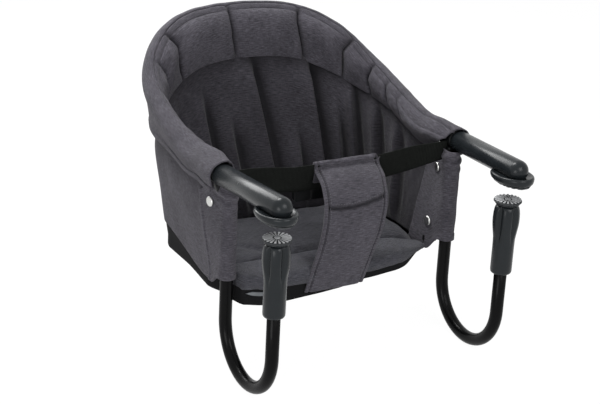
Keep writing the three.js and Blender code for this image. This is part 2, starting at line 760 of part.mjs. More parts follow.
// Soft nose of the seat, in front of the board, bowed forward between the legs
function frontLip() {
  const rings = [];
  const stations = 14;
  for (let i = 0; i <= stations; i += 1) {
    const x = LIP_HALF_WIDTH * ((2 * i) / stations - 1);
    const front = lipFront(x);
    const bottom = LIP_TOP - LIP_THICKNESS;
    const middle = (LIP_TOP + bottom) / 2;
    rings.push([
      [lipBack, bottom],
      [front + 8, bottom],
      [front + 2, bottom + 3],
      [front, middle],
      [front + 2, LIP_TOP - 3],
      [front + 9, LIP_TOP],
      [(front + lipBack) / 2, LIP_TOP + 1.5],
      [lipBack, LIP_TOP - 1],
    ].map(([y, z]) => new THREE.Vector3(x, y, z)));
  }
  return loft(rings);
}

function frontBinding() {
  const top = LIP_TOP - LIP_THICKNESS - SEAT_GAP;
  const middle = (u, v) => {
    const x = LIP_HALF_WIDTH * (2 * u - 1);
    return new THREE.Vector3(x, lipFront(x) + 8 + 3 * v, top - BINDING_HEIGHT * v);
  };
  return sheet(14, 2, middle, () => new THREE.Vector3(0, 1, 0), () => BINDING_THICKNESS);
}

// Bucket: the walls hang from the rim and end on the upper edge of the under cover
function baseLine({ half, rear, corner }) {
  const shape = new THREE.Path();
  const front = rimCurve.getPoint(0).y;
  shape.moveTo(-half, front);
  shape.lineTo(-half, rear - corner);
  shape.absarc(corner - half, rear - corner, corner, Math.PI, Math.PI / 2, true);
  shape.absarc(half - corner, rear - corner, corner, Math.PI / 2, 0, true);
  shape.lineTo(half, front);
  return shape;
}
const bucketBase = baseLine(SEAT_PLAN);
const skirtBase = baseLine(SKIRT_PLAN);

function baseNormal(w) {
  const along = bucketBase.getTangentAt(THREE.MathUtils.clamp(w, 0.001, 0.999));
  return new THREE.Vector3(-along.y, along.x, 0).normalize();
}

// Point of the bucket wall: w runs round the rim from left to right, v from the rim down to the seat
function wallPoint(w, v, fold = 0, line = bucketBase) {
  const rim = rimCurve.getPoint(w);
  const low = line.getPointAt(w);
  const base = new THREE.Vector3(low.x, low.y, trayTop + SEAT_GAP);
  const along = rimCurve.getTangent(w);
  const down = base.clone().sub(rim);
  const square = down.addScaledVector(along, -down.dot(along)).normalize();
  const start = rim.clone().addScaledVector(square, RIM_DIAMETER / 2 + RIM_SEAM);
  const swell = PANEL_BULGE * Math.sin(Math.PI * v) + fold;
  return start.lerp(base, v).addScaledVector(baseNormal(w), swell);
}

function foldAt(u, v, folds, depth) {
  return depth * Math.sin(Math.PI * v) * Math.cos(2 * Math.PI * folds * u);
}

// How far the lining stands inside the wall's middle: it swells into the bucket between its edges
function liningDepth(v) {
  return PANEL_THICKNESS / 2 + PANEL_PADDING * Math.sin(Math.PI * v);
}

// Padded wall between a folded lining and a smooth outer cover
function wallSheet(from, to, columns, folds) {
  const at = (u) => THREE.MathUtils.lerp(from, to, u);
  const lining = (u, v) => wallPoint(at(u), v, foldAt(u, v, folds, FOLD_DEPTH) - liningDepth(v));
  const cover = (u, v) => wallPoint(at(u), v, (PANEL_THICKNESS / 2) * (1 - v), skirtBase);
  const middle = (u, v) => lining(u, v).lerp(cover(u, v), 0.5);
  const across = (u, v) => cover(u, v).sub(lining(u, v));
  return sheet(columns, 6, middle, across, () => 1);
}

const seam = 0.0012;
const backStart = (1 - BACK_SHARE) / 2;

function sideRange(sign) {
  return sign < 0 ? [0, backStart - seam] : [1, 1 - backStart + seam];
}

function addBucket() {
  for (const [name, sign] of SIDES) {
    addMesh(chair, `${name}_side_panel`, wallSheet(...sideRange(sign), 12, SIDE_FOLDS), 'fabric');
  }
  const back = wallSheet(backStart + seam, 1 - backStart - seam, 4 * BACK_FOLDS, BACK_FOLDS);
  addMesh(chair, 'back_panel', back, 'fabric');
  addMesh(chair, 'back_collar', backCollar(), 'fabric');
}

// Padded band inside the top of the back, tucked at its darts and lying against the back panel
function backCollar() {
  const at = (u) => THREE.MathUtils.lerp(backStart + 2 * seam, 1 - backStart - 2 * seam, u);
  const thickness = (u, v) => {
    const dart = Math.abs(Math.sin(Math.PI * COLLAR_DARTS * u)) ** 0.5;
    const crown = Math.sin(Math.PI * (0.25 + 0.63 * v));
    return COLLAR_BAND_THICKNESS * (0.35 + 0.65 * crown * (0.45 + 0.55 * dart));
  };
  const middle = (u, v) => {
    const w = at(u);
    const length = wallPoint(w, 0).distanceTo(wallPoint(w, 1));
    const share = (0.06 + 0.94 * v) * (COLLAR_BAND_HEIGHT / length) * (0.7 + 0.3 * Math.sin(Math.PI * u));
    const seat = liningDepth(share) + FOLD_DEPTH * Math.sin(Math.PI * share) + 2 * SEAT_GAP;
    return wallPoint(w, share).addScaledVector(baseNormal(w), -seat - thickness(u, v) / 2);
  };
  return sheet(5 * COLLAR_DARTS, 4, middle, (u) => baseNormal(at(u)), thickness);
}

// Hem of the rim fabric, draped over the hinge collar and open below it
function armCuff(sign) {
  const inner = COLLAR_DIAMETER / 2 + 2 * SEAT_GAP;
  const shape = new THREE.Shape();
  const start = -Math.PI / 2 - CUFF_SWEEP / 2;
  const end = CUFF_SWEEP / 2 - Math.PI / 2;
  shape.absarc(0, 0, inner + CUFF_WALL, start, end, false);
  shape.absarc(0, 0, inner, end, start, true);
  shape.closePath();
  const depth = rimCurve.getPoint(0).distanceTo(armPoint(-1, 0)) - COLLAR_START - SEAT_GAP;
  const hem = new THREE.ExtrudeGeometry(shape, { depth, bevelEnabled: false, curveSegments: 14 });
  return alongArm(hem.translate(0, 0, COLLAR_START), sign);
}

const gussetFront = HOOK_DEPTH + SOCKET_DIAMETER / 2 + LEG_SLEEVE_WALL + 4 * SEAT_GAP;

function gussetPoint(sign, u, v) {
  const w = sign < 0 ? 0 : 1;
  const wall = wallPoint(w, GUSSET_TOP_SHARE + (1 - GUSSET_TOP_SHARE) * v);
  const x = THREE.MathUtils.lerp(sign * (HOOK_HALF_SPACING + GUSSET_OFFSET), wall.x, 0.4 + 0.6 * u);
  return new THREE.Vector3(x, THREE.MathUtils.lerp(gussetFront, wall.y - SEAT_GAP, u), wall.z);
}

function gusset(sign) {
  const middle = (u, v) => gussetPoint(sign, u, v);
  return sheet(4, 6, middle, () => new THREE.Vector3(sign, 0, 0), () => GUSSET_THICKNESS);
}

// Turns and moves a body made about +Z so that it stands square through the flap, near its rear seam.
function throughFlap(geometry, sign, share) {
  const depth = Math.abs(gussetPoint(sign, 1, share).y - gussetPoint(sign, 0, share).y);
  const u = 1 - STUD_SETBACK / depth;
  const place = gussetPoint(sign, u, share);
  const back = gussetPoint(sign, u + 0.1, share).sub(place);
  const down = gussetPoint(sign, u, share + 0.1).sub(place);
  const normal = back.cross(down).normalize();
  const turn = new THREE.Quaternion().setFromUnitVectors(new THREE.Vector3(0, 0, 1), normal);
  return geometry.applyQuaternion(turn).translate(place.x, place.y, place.z);
}

function stud() {
  const half = GUSSET_THICKNESS / 2 + 3 * SEAT_GAP;
  const shank = STUD_SHANK / 2 - SEAT_GAP;
  const cap = STUD_DIAMETER / 2;
  return turned([
    [0, -half - STUD_CAP],
    [cap - 1.5, -half - STUD_CAP],
    [cap, -half],
    [shank, -half],
    [shank, half],
    [cap, half],
    [cap - 2, half + STUD_CAP],
    [0, half + STUD_CAP],
  ], 10);
}

function addFlap(name, sign) {
  let flap = gusset(sign);
  for (const [level, share] of Object.entries(STUD_SHARES)) {
    const hole = post(around(STUD_SHANK / 2, 12), -STUD_DIAMETER, STUD_DIAMETER, 0, 0, 12);
    flap = cut(flap, throughFlap(hole, sign, share));
    addMesh(chair, `${name}_${level}_stud`, throughFlap(stud(), sign, share), 'steel');
  }
  addMesh(chair, `${name}_flap_gusset`, flap, 'fabric');
}

// Waist belt with its buckle, and the crotch strap that folds over it
function beltEnd() {
  const inner = GUSSET_THICKNESS / 2 + 2 * SEAT_GAP;
  const levels = [0, 0.1, 0.2, 0.3, 0.4];
  return Math.min(...levels.map((v) => gussetPoint(1, 0, v).x)) - inner;
}

// The belt lies level where the crotch strap folds over it and rises from there to the arms.
function waistBelt() {
  const half = beltEnd();
  const middle = (u, v) => {
    const x = THREE.MathUtils.lerp(-half, half, u);
    const outside = Math.max(Math.abs(x) - BELT_LEVEL_HALF, 0) / (half - BELT_LEVEL_HALF);
    const z = BELT_MIDDLE + BELT_RISE * outside + (0.5 - v) * BELT_WIDTH;
    return new THREE.Vector3(x, BELT_BACK - BELT_THICKNESS / 2, z);
  };
  return sheet(12, 1, middle, () => new THREE.Vector3(0, 1, 0), () => BELT_THICKNESS);
}

// Centre line of the crotch strap in the plane x = 0: up behind the belt, over it, and down in a
// forward bow to the nose of the seat
function strapLine() {
  const fold = BELT_THICKNESS / 2 + 2 * SEAT_GAP + STRAP_THICKNESS / 2;
  const crest = BELT_BACK - BELT_THICKNESS / 2;
  const top = BELT_MIDDLE + BELT_WIDTH / 2 + SEAT_GAP;
  const nose = LIP_FRONT - SEAT_GAP - STRAP_THICKNESS / 2;
  const front = (reach, drop) => new THREE.Vector3(
    0,
    THREE.MathUtils.lerp(crest - fold, nose, reach) - STRAP_BOW * Math.sin(Math.PI * drop),
    THREE.MathUtils.lerp(top, STRAP_FOOT, drop),
  );
  return new THREE.CatmullRomCurve3([
    new THREE.Vector3(0, crest + fold, top - STRAP_BACK_LENGTH),
    new THREE.Vector3(0, crest + fold, top),
    new THREE.Vector3(0, crest, top + fold),
    new THREE.Vector3(0, crest - fold, top),
    front(0.05, 0.03),
    front(0.46, 0.12),
    front(0.84, 0.28),
    front(1, 0.5),
    front(1, 0.78),
    front(1, 1),
  ]);
}

function crotchStrap() {
  const line = strapLine();
  const top = BELT_MIDDLE + BELT_WIDTH / 2;
  const middle = (u, v) => {
    const point = line.getPoint(u);
    const share = (point.z - STRAP_FOOT) / (top - STRAP_FOOT);
    const shift = THREE.MathUtils.lerp(STRAP_FOOT_SHIFT, STRAP_TOP_SHIFT, share);
    return point.setX(shift + (v - 0.5) * STRAP_WIDTH);
  };
  const across = (u) => new THREE.Vector3(1, 0, 0).cross(line.getTangent(u));
  return sheet(27, 2, middle, across, () => STRAP_THICKNESS);
}

function buckleHalf(low, high) {
  const round = 4;
  const shape = new THREE.Shape();
  const width = high - low;
  shape.moveTo(low + round, -BUCKLE_HEIGHT / 2);
  shape.lineTo(low + width - round, -BUCKLE_HEIGHT / 2);
  shape.absarc(high - round, round - BUCKLE_HEIGHT / 2, round, -Math.PI / 2, 0, false);
  shape.absarc(high - round, BUCKLE_HEIGHT / 2 - round, round, 0, Math.PI / 2, false);
  shape.absarc(low + round, BUCKLE_HEIGHT / 2 - round, round, Math.PI / 2, Math.PI, false);
  shape.absarc(low + round, round - BUCKLE_HEIGHT / 2, round, Math.PI, 1.5 * Math.PI, false);
  const settings = { depth: BUCKLE_THICKNESS, bevelEnabled: false, curveSegments: 4 };
  const body = new THREE.ExtrudeGeometry(shape, settings);
  body.rotateX(Math.PI / 2);
  return body.translate(0, BELT_BACK + SEAT_GAP + BUCKLE_THICKNESS, BUCKLE_MIDDLE);
}

function addStraps() {
  addMesh(chair, 'waist_belt', waistBelt(), 'webbing');
  addMesh(chair, 'crotch_strap', crotchStrap(), 'fabric');
  const split = BUCKLE_SHIFT;
  addMesh(chair, 'buckle_socket', buckleHalf(split - BUCKLE_WIDTH, split - SEAT_GAP / 2), 'black_plastic');
  addMesh(chair, 'buckle_tongue', buckleHalf(split + SEAT_GAP / 2, split + BUCKLE_WIDTH), 'black_plastic');
}

addHoop();
for (const [name, sign] of SIDES) {
  addArm(name, sign);
  addHook(name, sign);
  addMesh(chair, `${name}_arm_cuff`, armCuff(sign), 'fabric');
  addFlap(name, sign);
}
addSeat();
addBucket();
addStraps();

export default chair;
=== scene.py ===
import math
from bisect import bisect_right
from functools import lru_cache

import bmesh
import bpy
from mathutils import Matrix, Vector, noise


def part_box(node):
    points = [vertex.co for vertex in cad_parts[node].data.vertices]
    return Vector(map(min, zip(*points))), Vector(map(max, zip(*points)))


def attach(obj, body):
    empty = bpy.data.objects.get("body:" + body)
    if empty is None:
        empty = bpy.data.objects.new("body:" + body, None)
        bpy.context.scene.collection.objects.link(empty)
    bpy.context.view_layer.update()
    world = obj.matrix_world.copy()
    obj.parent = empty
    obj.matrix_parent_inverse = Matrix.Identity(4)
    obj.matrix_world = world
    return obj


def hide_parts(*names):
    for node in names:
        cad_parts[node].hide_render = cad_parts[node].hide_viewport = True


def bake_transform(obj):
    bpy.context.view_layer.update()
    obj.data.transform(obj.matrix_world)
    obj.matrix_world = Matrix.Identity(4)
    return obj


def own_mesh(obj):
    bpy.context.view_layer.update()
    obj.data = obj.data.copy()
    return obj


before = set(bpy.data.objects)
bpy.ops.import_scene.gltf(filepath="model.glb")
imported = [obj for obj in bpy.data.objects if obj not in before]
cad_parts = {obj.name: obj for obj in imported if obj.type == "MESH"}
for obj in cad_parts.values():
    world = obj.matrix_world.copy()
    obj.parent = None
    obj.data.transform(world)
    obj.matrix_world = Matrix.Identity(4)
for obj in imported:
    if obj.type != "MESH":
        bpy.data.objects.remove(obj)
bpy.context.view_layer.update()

# Lengths are in millimetres until a piece is finished.
MM = 0.001
SIDES = (("left", -1), ("right", 1))

# Tube hoop and arms
ARM_HALF_SPACING = 181
ARM_HEIGHT = 20.5
ARM_SPLAY = math.radians(3.06)
ARM_DROP = math.radians(2.43)
ARM_STRAIGHT = 225
TUBE_RADIUS = 9
HOOP_TIP = -19
HOOP_HALF_WIDTH = 193.5
HOOP_RISE_START = 311
HOOP_BASE = 16
HOOP_ARCH = 208
HOOP_RECLINE = math.radians(34.8)
HOOP_SQUARENESS = 0.74
HOOP_FULLNESS = 0.89
SLEEVE_RADIUS = 14.8
SLEEVE_TIP = 26
SLEEVE_END = 139
SLEEVE_BORE_TIP = -20
SHOE_HALF_LENGTH = 36
SHOE_HALF_WIDTH = 26

# Seat
SEAT_HALF_WIDTH = 160
SEAT_FRONT = 161
SEAT_REAR = 342
SEAT_CORNER = 72
SKIRT_HALF_WIDTH = 184
SKIRT_REAR = 346
SKIRT_CORNER = 36
SEAT_UNDERSIDE = -160
SEAT_EDGE_LEVEL = -141.7
NOSE_FRONT = 106
NOSE_LEFT = -167
NOSE_RIGHT = 146
NOSE_TOP = -132
NOSE_BOTTOM = -153
BINDING_BOTTOM = -167
STRIP_LEFT = -157
STRIP_RIGHT = -112
SWELL_STEPS = 20

# Hooks and clamps, with the floor just under the hooks
HOOK_HALF_SPACING = 178
HOOK_DEPTH = 136
HOOK_BEND_LEVEL = -192.5
FLOOR_LEVEL = -269.8
LEG_TOP = -8
COLLAR_FROM = 141.5
COLLAR_TO = 154
COLLAR_RADIUS = 14
CLAMP_TUBE_END = -90
PAD_TOP = -23
PAD_RADIUS = 19.3
PAD_RIBS = 20
RIB_MIDDLE = 12.2
PLATE_TOP = -27.3
GRIP_TOP = -31.3
GRIP_BOTTOM = -131.9
GRIP_BORE = 9.5
GRIP_BORE_TOP = -48.3
GRIP_RIDGES = 5
GRIP_TURN = math.radians(24)

# Straps
BELT_Y = 167.8
BELT_MIDDLE = -21
BELT_RISE = 14
BELT_LEVEL_HALF = 62
BELT_HALF_LENGTH = 178
BELT_WIDTH = 36
BELT_TURN = 105
STRAP_WIDTH = 96
STRAP_FOOT = -164
STRAP_CROSS_LEVEL = -46
STRAP_SEAM = 0.87
STITCH_PITCH = 4.2

# Cover: a share of the hoop's length says where round the rim a point is
RIM_FROM = 1 / 6
WALL_FROM = RIM_FROM - 0.008
CUFF_FROM = 0.118
WALL_START = 15.2
ROLL_RADIUS = 14.0
ROLL_OUTER_RADIUS = 11.0
CUFF_RADIUS = 16.7

# Leg flaps: each wraps its leg, and its rear seam slants forward towards its foot
FLAP_TOP = 2
FLAP_BOTTOM = -134
FLAP_RADIUS = 11.4
FLAP_SEAM_TOP = 186
FLAP_SEAM_FOOT = 160
FLAP_INNER_SEAM = 197


def clamp(value, low=0.0, high=1.0):
    return max(low, min(high, value))


def mix(a, b, share):
    return a + (b - a) * share


def ease(low, high, value):
    """Rises smoothly from 0 at low to 1 at high, or falls where low is the larger."""
    share = clamp((value - low) / (high - low))
    return share * share * (3 - 2 * share)


def hump(distance, width):
    return math.exp(-((distance / width) ** 2))


def wrinkle(place, coarse, fine, ratio):
    """Uneven height of crumpled cloth: broad waves with smaller ones on them."""
    return coarse * noise.noise(place) + fine * noise.noise(place * ratio)


class Line:
    """A curve measured along its length: at(0) is its start and at(1) its end."""

    def __init__(self, points):
        self.points = points
        self.reach = [0.0]
        for near, far in zip(points, points[1:]):
            self.reach.append(self.reach[-1] + (far - near).length)
        self.length = self.reach[-1]

    def at(self, share):
        run = share * self.length
        i = clamp(bisect_right(self.reach, run) - 1, 0, len(self.points) - 2)
        near, far = self.points[i], self.points[i + 1]
        return near.lerp(far, (run - self.reach[i]) / (self.reach[i + 1] - self.reach[i]))

    def way(self, share):
        reach = 4 / self.length
        return (self.at(share + reach) - self.at(share - reach)).normalized()


def smooth_line(points, steps=40):
    """A curve through points that keeps from overshooting where they lie close together."""
    ends = [2 * points[0] - points[1], *points, 2 * points[-1] - points[-2]]
    curve = []
    for a, b, c, d in zip(ends, ends[1:], ends[2:], ends[3:]):
        knots = [0.0]
        for near, far in ((a, b), (b, c), (c, d)):
            knots.append(knots[-1] + math.sqrt((far - near).length))
        for step in range(steps):
            t = mix(knots[1], knots[2], step / steps)
            first = a.lerp(b, (t - knots[0]) / (knots[1] - knots[0]))
            second = b.lerp(c, (t - knots[1]) / (knots[2] - knots[1]))
            third = c.lerp(d, (t - knots[2]) / (knots[3] - knots[2]))
            left = first.lerp(second, (t - knots[0]) / (knots[2] - knots[0]))
            right = second.lerp(third, (t - knots[1]) / (knots[3] - knots[1]))
            curve.append(left.lerp(right, (t - knots[1]) / (knots[2] - knots[1])))
    return Line([*curve, points[-1]])


def arm_point(side, y):
    x = ARM_HALF_SPACING + y * math.tan(ARM_SPLAY)
    return Vector((side * x, y, ARM_HEIGHT - y * math.tan(ARM_DROP)))


def arch_point(side, degrees):
    angle = math.radians(degrees)
    rise = HOOP_ARCH * math.sin(angle) ** HOOP_FULLNESS
    return Vector((
        side * HOOP_HALF_WIDTH * max(math.cos(angle), 0) ** HOOP_SQUARENESS,
        HOOP_RISE_START + rise * math.cos(HOOP_RECLINE),
        HOOP_BASE + rise * math.sin(HOOP_RECLINE),
    ))


def hoop_line():
    straight = (HOOP_TIP, 0.3 * ARM_STRAIGHT, 0.55 * ARM_STRAIGHT, 0.78 * ARM_STRAIGHT, ARM_STRAIGHT)
    halves = []
    for _, side in SIDES:
        halves.append([arm_point(side, y) for y in straight] + [arch_point(side, a) for a in (22, 45, 68)])
    return smooth_line([*halves[0], arch_point(1, 90), *reversed(halves[1])])


HOOP = hoop_line()


def base_line(half, rear, corner):
    """Lower edge of the bucket in plan, from the left front round the back to the right front."""
    front = HOOP.at(RIM_FROM).y
    points = [Vector((-half, front, SEAT_EDGE_LEVEL))]
    for middle, start in ((corner - half, 180), (half - corner, 90)):
        for step in range(25):
            angle = math.radians(start - 90 * step / 24)
            x = middle + corner * math.cos(angle)
            points.append(Vector((x, rear - corner + corner * math.sin(angle), SEAT_EDGE_LEVEL)))
    points.append(Vector((half, front, SEAT_EDGE_LEVEL)))
    return Line(points)


SEAT_EDGE = base_line(SEAT_HALF_WIDTH, SEAT_REAR, SEAT_CORNER)
SKIRT_EDGE = base_line(SKIRT_HALF_WIDTH, SKIRT_REAR, SKIRT_CORNER)


def outward(line, share):
    way = line.way(share)
    return Vector((-way.y, way.x, 0))


class Section:
    """A cut through the rim: the tube's middle there, and the ways along it, out, and down the wall."""

    def __init__(self, share):
        lap = (share - RIM_FROM) / (1 - 2 * RIM_FROM)
        self.middle = HOOP.at(share)
        self.along = HOOP.way(share)
        self.foot = SEAT_EDGE.at(lap)
        self.foot_out = outward(SEAT_EDGE, lap)
        self.hem = SKIRT_EDGE.at(lap)
        self.hem_out = outward(SKIRT_EDGE, lap)
        down = self.foot - self.middle
        self.down = (down - self.along * down.dot(self.along)).normalized()
        self.out = self.along.cross(self.down)
        self.start = self.middle + self.down * WALL_START
        self.height = WALL_START + (self.foot - self.start).length
        self.skin_height = WALL_START + (self.hem - self.start).length

    def hung(self, depth, out, foot, foot_out, height):
        turn = ease(0, 60, depth)
        way = (self.out * (1 - turn) + foot_out * turn).normalized()
        if depth < WALL_START:
            return self.middle + self.down * depth + way * out
        return self.start.lerp(foot, (depth - WALL_START) / (height - WALL_START)) + way * out

    def wall(self, depth, out):
        """A point of the lining's side: depth runs down from the tube's middle."""
        return self.hung(depth, out, self.foot, self.foot_out, self.height)

    def skin(self, depth, out):
        """A point of the outer cover's side, which ends wider than the seat."""
        return self.hung(depth, out, self.hem, self.hem_out, self.skin_height)

    def roll(self, angle, radius):
        return self.middle + (self.out * math.cos(angle) - self.down * math.sin(angle)) * radius


@lru_cache(maxsize=None)
def section(share):
    return Section(share)


class Wire:
    """A socket in a material's tree. Sums and products of wires and numbers add Math nodes."""

    def __init__(self, tree, socket):
        self.tree = tree
        self.socket = socket

    def maths(self, operation, *others):
        node = self.tree.nodes.new("ShaderNodeMath")
        node.operation = operation
        for slot, value in zip(node.inputs, others):
            if isinstance(value, Wire):
                self.tree.links.new(value.socket, slot)
            else:
                slot.default_value = value
        return Wire(self.tree, node.outputs[0])

    def __add__(self, other):
        return self.maths("ADD", self, other)

    def __radd__(self, other):
        return self.maths("ADD", other, self)

    def __sub__(self, other):
        return self.maths("SUBTRACT", self, other)

    def __rsub__(self, other):
        return self.maths("SUBTRACT", other, self)

    def __mul__(self, other):
        return self.maths("MULTIPLY", self, other)

    def __rmul__(self, other):
        return self.maths("MULTIPLY", other, self)

    def __truediv__(self, other):
        return self.maths("DIVIDE", self, other)

    def __rtruediv__(self, other):
        return self.maths("DIVIDE", other, self)


class Finish:
    """A material whose nodes are added one by one, with one principled surface at its end."""

    def __init__(self, name, owner=None):
        self.material = owner or bpy.data.materials.new(name)
        self.material.use_nodes = True
        self.tree = self.material.node_tree
        self.tree.nodes.clear()

    def node(self, kind, settings=None, inputs=None, output=0):
        node = self.tree.nodes.new(kind)
        for name, value in (settings or {}).items():
            if name == "stops":
                ramp = node.color_ramp
                while len(ramp.elements) < len(value):
                    ramp.elements.new(0.5)
                for element, (place, colour) in zip(ramp.elements, value):
                    element.position = place
                    element.color = (*colour, 1)
            else:
                setattr(node, name, value)
        for name, value in (inputs or {}).items():
            socket = node.inputs[name]
            if isinstance(value, Wire):
                self.tree.links.new(value.socket, socket)
            else:
                socket.default_value = value
        return Wire(self.tree, node.outputs[output]) if node.outputs else None

    def coordinates(self, kind):
        return self.node("ShaderNodeTexCoord", output=kind)

    def mapped(self, coordinates, scale):
        return self.node("ShaderNodeMapping", inputs={"Vector": coordinates, "Scale": scale})

    def noise(self, coordinates, scale, detail=3.0):
        inputs = {"Vector": coordinates, "Scale": scale, "Detail": detail, "Roughness": 0.55}
        return self.node("ShaderNodeTexNoise", inputs=inputs)

    def grain(self, scale, detail=2.0):
        return self.noise(self.coordinates("Object"), scale, detail)

    def ramp(self, factor, *stops):
        return self.node("ShaderNodeValToRGB", {"stops": stops}, {"Fac": factor})

    def mixed(self, factor, first, second):
        """Mixes two colours. The numbers are a Mix node's sockets for colours."""
        return self.node("ShaderNodeMix", {"data_type": "RGBA"}, {0: factor, 6: first, 7: second}, 2)

    def parts(self, vector):
        return [self.node("ShaderNodeSeparateXYZ", inputs={"Vector": vector}, output=axis) for axis in "XYZ"]

    def bump(self, height, distance, strength, normal=None):
        inputs = {"Height": height, "Distance": distance, "Strength": strength}
        if normal:
            inputs["Normal"] = normal
        return self.node("ShaderNodeBump", inputs=inputs)

    def surface(self, **inputs):
        named = {name.replace("_", " "): value for name, value in inputs.items()}
        shader = self.node("ShaderNodeBsdfPrincipled", inputs=named)
        self.node("ShaderNodeOutputMaterial", inputs={"Surface": shader})
        return self.material


def shade(colour, factor):
    return tuple(channel * factor for channel in colour)


def melange_cloth(name, colour, coordinates="UV"):
    """Charcoal melange: two colours of yarn in a plain weave, with slubs along the weft, darkened as painted
    shade where the piece's crease attribute is high.
    """
    cloth = Finish(name)
    place = cloth.coordinates(coordinates)
    weft = cloth.noise(cloth.mapped(place, (105, 1050, 600)), 1.0, 2.0)
    warp = cloth.noise(cloth.mapped(place, (1050, 170, 600)), 1.0, 2.0)
    cloud = cloth.noise(place, 22.0, 3.0)
    yarn = weft * 0.6 + warp * 0.22 + cloud * 0.18
    tint = cloth.ramp(yarn, (0.36, shade(colour, 0.48)), (0.5, colour), (0.64, shade(colour, 1.7)))
    # Painted shade: the crease attribute mixes the yarn towards a much darker tone, standing in for shadow
    # in folds, seams and under overhangs.
    painted_shade = cloth.node("ShaderNodeAttribute", {"attribute_name": "crease"}, output="Fac")
    tint = cloth.mixed(painted_shade * 0.85, tint, (*shade(colour, 0.16), 1))
    across, along, _ = cloth.parts(cloth.mapped(place, (7400, 7400, 7400)))
    weave = across.maths("SINE", across) * along.maths("SINE", along)
    crease = cloth.noise(place, 55.0, 4.0)
    normal = cloth.bump(weave * 0.35 + weft * 0.7, 0.0004, 0.7)
    normal = cloth.bump(crease, 0.0016, 0.4, normal)
    return cloth.surface(
        Base_Color=tint, Roughness=0.9, Normal=normal, Sheen_Weight=0.12, Sheen_Roughness=0.5,
        Specular_IOR_Level=0.1,
    )


def coated_lining(name):
    lining = Finish(name)
    grain = lining.grain(900.0)
    tint = lining.ramp(grain, (0.3, (0.005, 0.005, 0.0055)), (0.7, (0.011, 0.011, 0.012)))
    return lining.surface(
        Base_Color=tint, Roughness=0.6 + grain * 0.3, Normal=lining.bump(grain, 0.0003, 0.5),
        Specular_IOR_Level=0.08,
    )


def ribbed_webbing(name):
    """Black webbing with fine ribs across its width."""
    webbing = Finish(name)
    place = webbing.coordinates("UV")
    along, across, _ = webbing.parts(webbing.mapped(place, (3100, 2400, 1)))
    ribs = along.maths("SINE", along)
    threads = across.maths("SINE", across)
    wear = ribs * 0.25 + webbing.noise(place, 160.0) * 0.5 + 0.25
    tint = webbing.ramp(wear, (0.2, (0.0055, 0.0061, 0.0055)), (0.8, (0.0145, 0.016, 0.0145)))
    normal = webbing.bump(ribs + threads * 0.3, 0.0004, 0.8)
    return webbing.surface(Base_Color=tint, Roughness=0.75, Normal=normal, Specular_IOR_Level=0.07)


def moulded_plastic(name, colour, rough, grain=0.00006):
    plastic = Finish(name)
    spark = plastic.grain(1600.0)
    patch = plastic.grain(45.0, 4.0)
    tint = plastic.ramp(patch * 0.7 + spark * 0.3, (0.3, shade(colour, 0.86)), (0.7, shade(colour, 1.14)))
    return plastic.surface(
        Base_Color=tint, Roughness=rough - 0.06 + patch * 0.12, Normal=plastic.bump(spark, grain, 0.6),
        Specular_IOR_Level=0.2,
    )


def powder_coat(name):
    """Gloss black powder coat on steel tube, with its slight orange peel."""
    coat = Finish(name)
    peel = coat.grain(420.0)
    dust = coat.grain(60.0, 4.0)
    tint = coat.ramp(dust, (0.3, (0.0016, 0.0016, 0.0018)), (0.8, (0.0030, 0.0030, 0.0033)))
    return coat.surface(
        Base_Color=tint, Roughness=0.24 + dust * 0.14, Normal=coat.bump(peel, 0.00005, 0.5),
        Specular_IOR_Level=0.07, Coat_Weight=0.05, Coat_Roughness=0.08,
    )


def ribbed_rubber(name, low, high, base, tip):
    """Grey rubber that turns paler from the low level towards the high level of its object, which picks out
    its raised ribs.
    """
    rubber = Finish(name)
    level = rubber.parts(rubber.coordinates("Object"))[2]
    raised = (level - low * MM) / ((high - low) * MM)
    grain = rubber.grain(700.0, 3.0)
    tint = rubber.ramp(raised + grain * 0.3 - 0.15, (0.35, base), (0.8, tip))
    return rubber.surface(
        Base_Color=tint, Roughness=0.65 + grain * 0.2, Normal=rubber.bump(grain, 0.0002, 0.5),
        Specular_IOR_Level=0.15,
    )


def bright_zinc(name):
    zinc = Finish(name)
    place = zinc.coordinates("Object")
    brush = zinc.noise(zinc.mapped(place, (300, 300, 4000)), 1.0, 3.0)
    tint = zinc.ramp(brush, (0.3, (0.50, 0.50, 0.49)), (0.7, (0.72, 0.72, 0.70)))
    return zinc.surface(Base_Color=tint, Metallic=1.0, Roughness=0.22 + brush * 0.15)


def thread(name, colour):
    yarn = Finish(name)
    twist = yarn.grain(2600.0)
    tint = yarn.ramp(twist, (0.3, shade(colour, 0.75)), (0.7, shade(colour, 1.2)))
    return yarn.surface(Base_Color=tint, Roughness=0.7)


CHARCOAL = (0.086, 0.081, 0.096)
SLATE = (0.0155, 0.0186, 0.021)
SEAT_TINT = (0.047, 0.047, 0.055)
CLOTH = melange_cloth("charcoal_cloth", CHARCOAL)
# The lining is the same charcoal cloth made darker, as painted shade for the inside of the bucket.
SHADED_LINING_CLOTH = melange_cloth("shaded_lining_cloth", shade(CHARCOAL, 0.64))
NOSE_CLOTH = melange_cloth("nose_cloth", shade(SEAT_TINT, 1.4))
SEAT_CLOTH = melange_cloth("seat_cloth", SEAT_TINT, "Object")
LINING = coated_lining("black_lining")
WEBBING = ribbed_webbing("black_webbing")
SLATE_PLASTIC = moulded_plastic("slate_plastic_finish", SLATE, 0.25)
BLACK_PLASTIC = moulded_plastic("black_plastic_finish", (0.0075, 0.0078, 0.0085), 0.3, 0.00003)
BOARD = moulded_plastic("board_finish", (0.022, 0.022, 0.024), 0.6)
BLACK_STEEL = powder_coat("black_powder_coat")
PAD_RUBBER = ribbed_rubber("pad_rubber", PAD_TOP - 1.5, PAD_TOP, (0.05, 0.053, 0.056), (0.55, 0.56, 0.57))
FOOT_RUBBER = ribbed_rubber("foot_rubber", 1.5, 0, (0.05, 0.053, 0.056), (0.16, 0.165, 0.17))
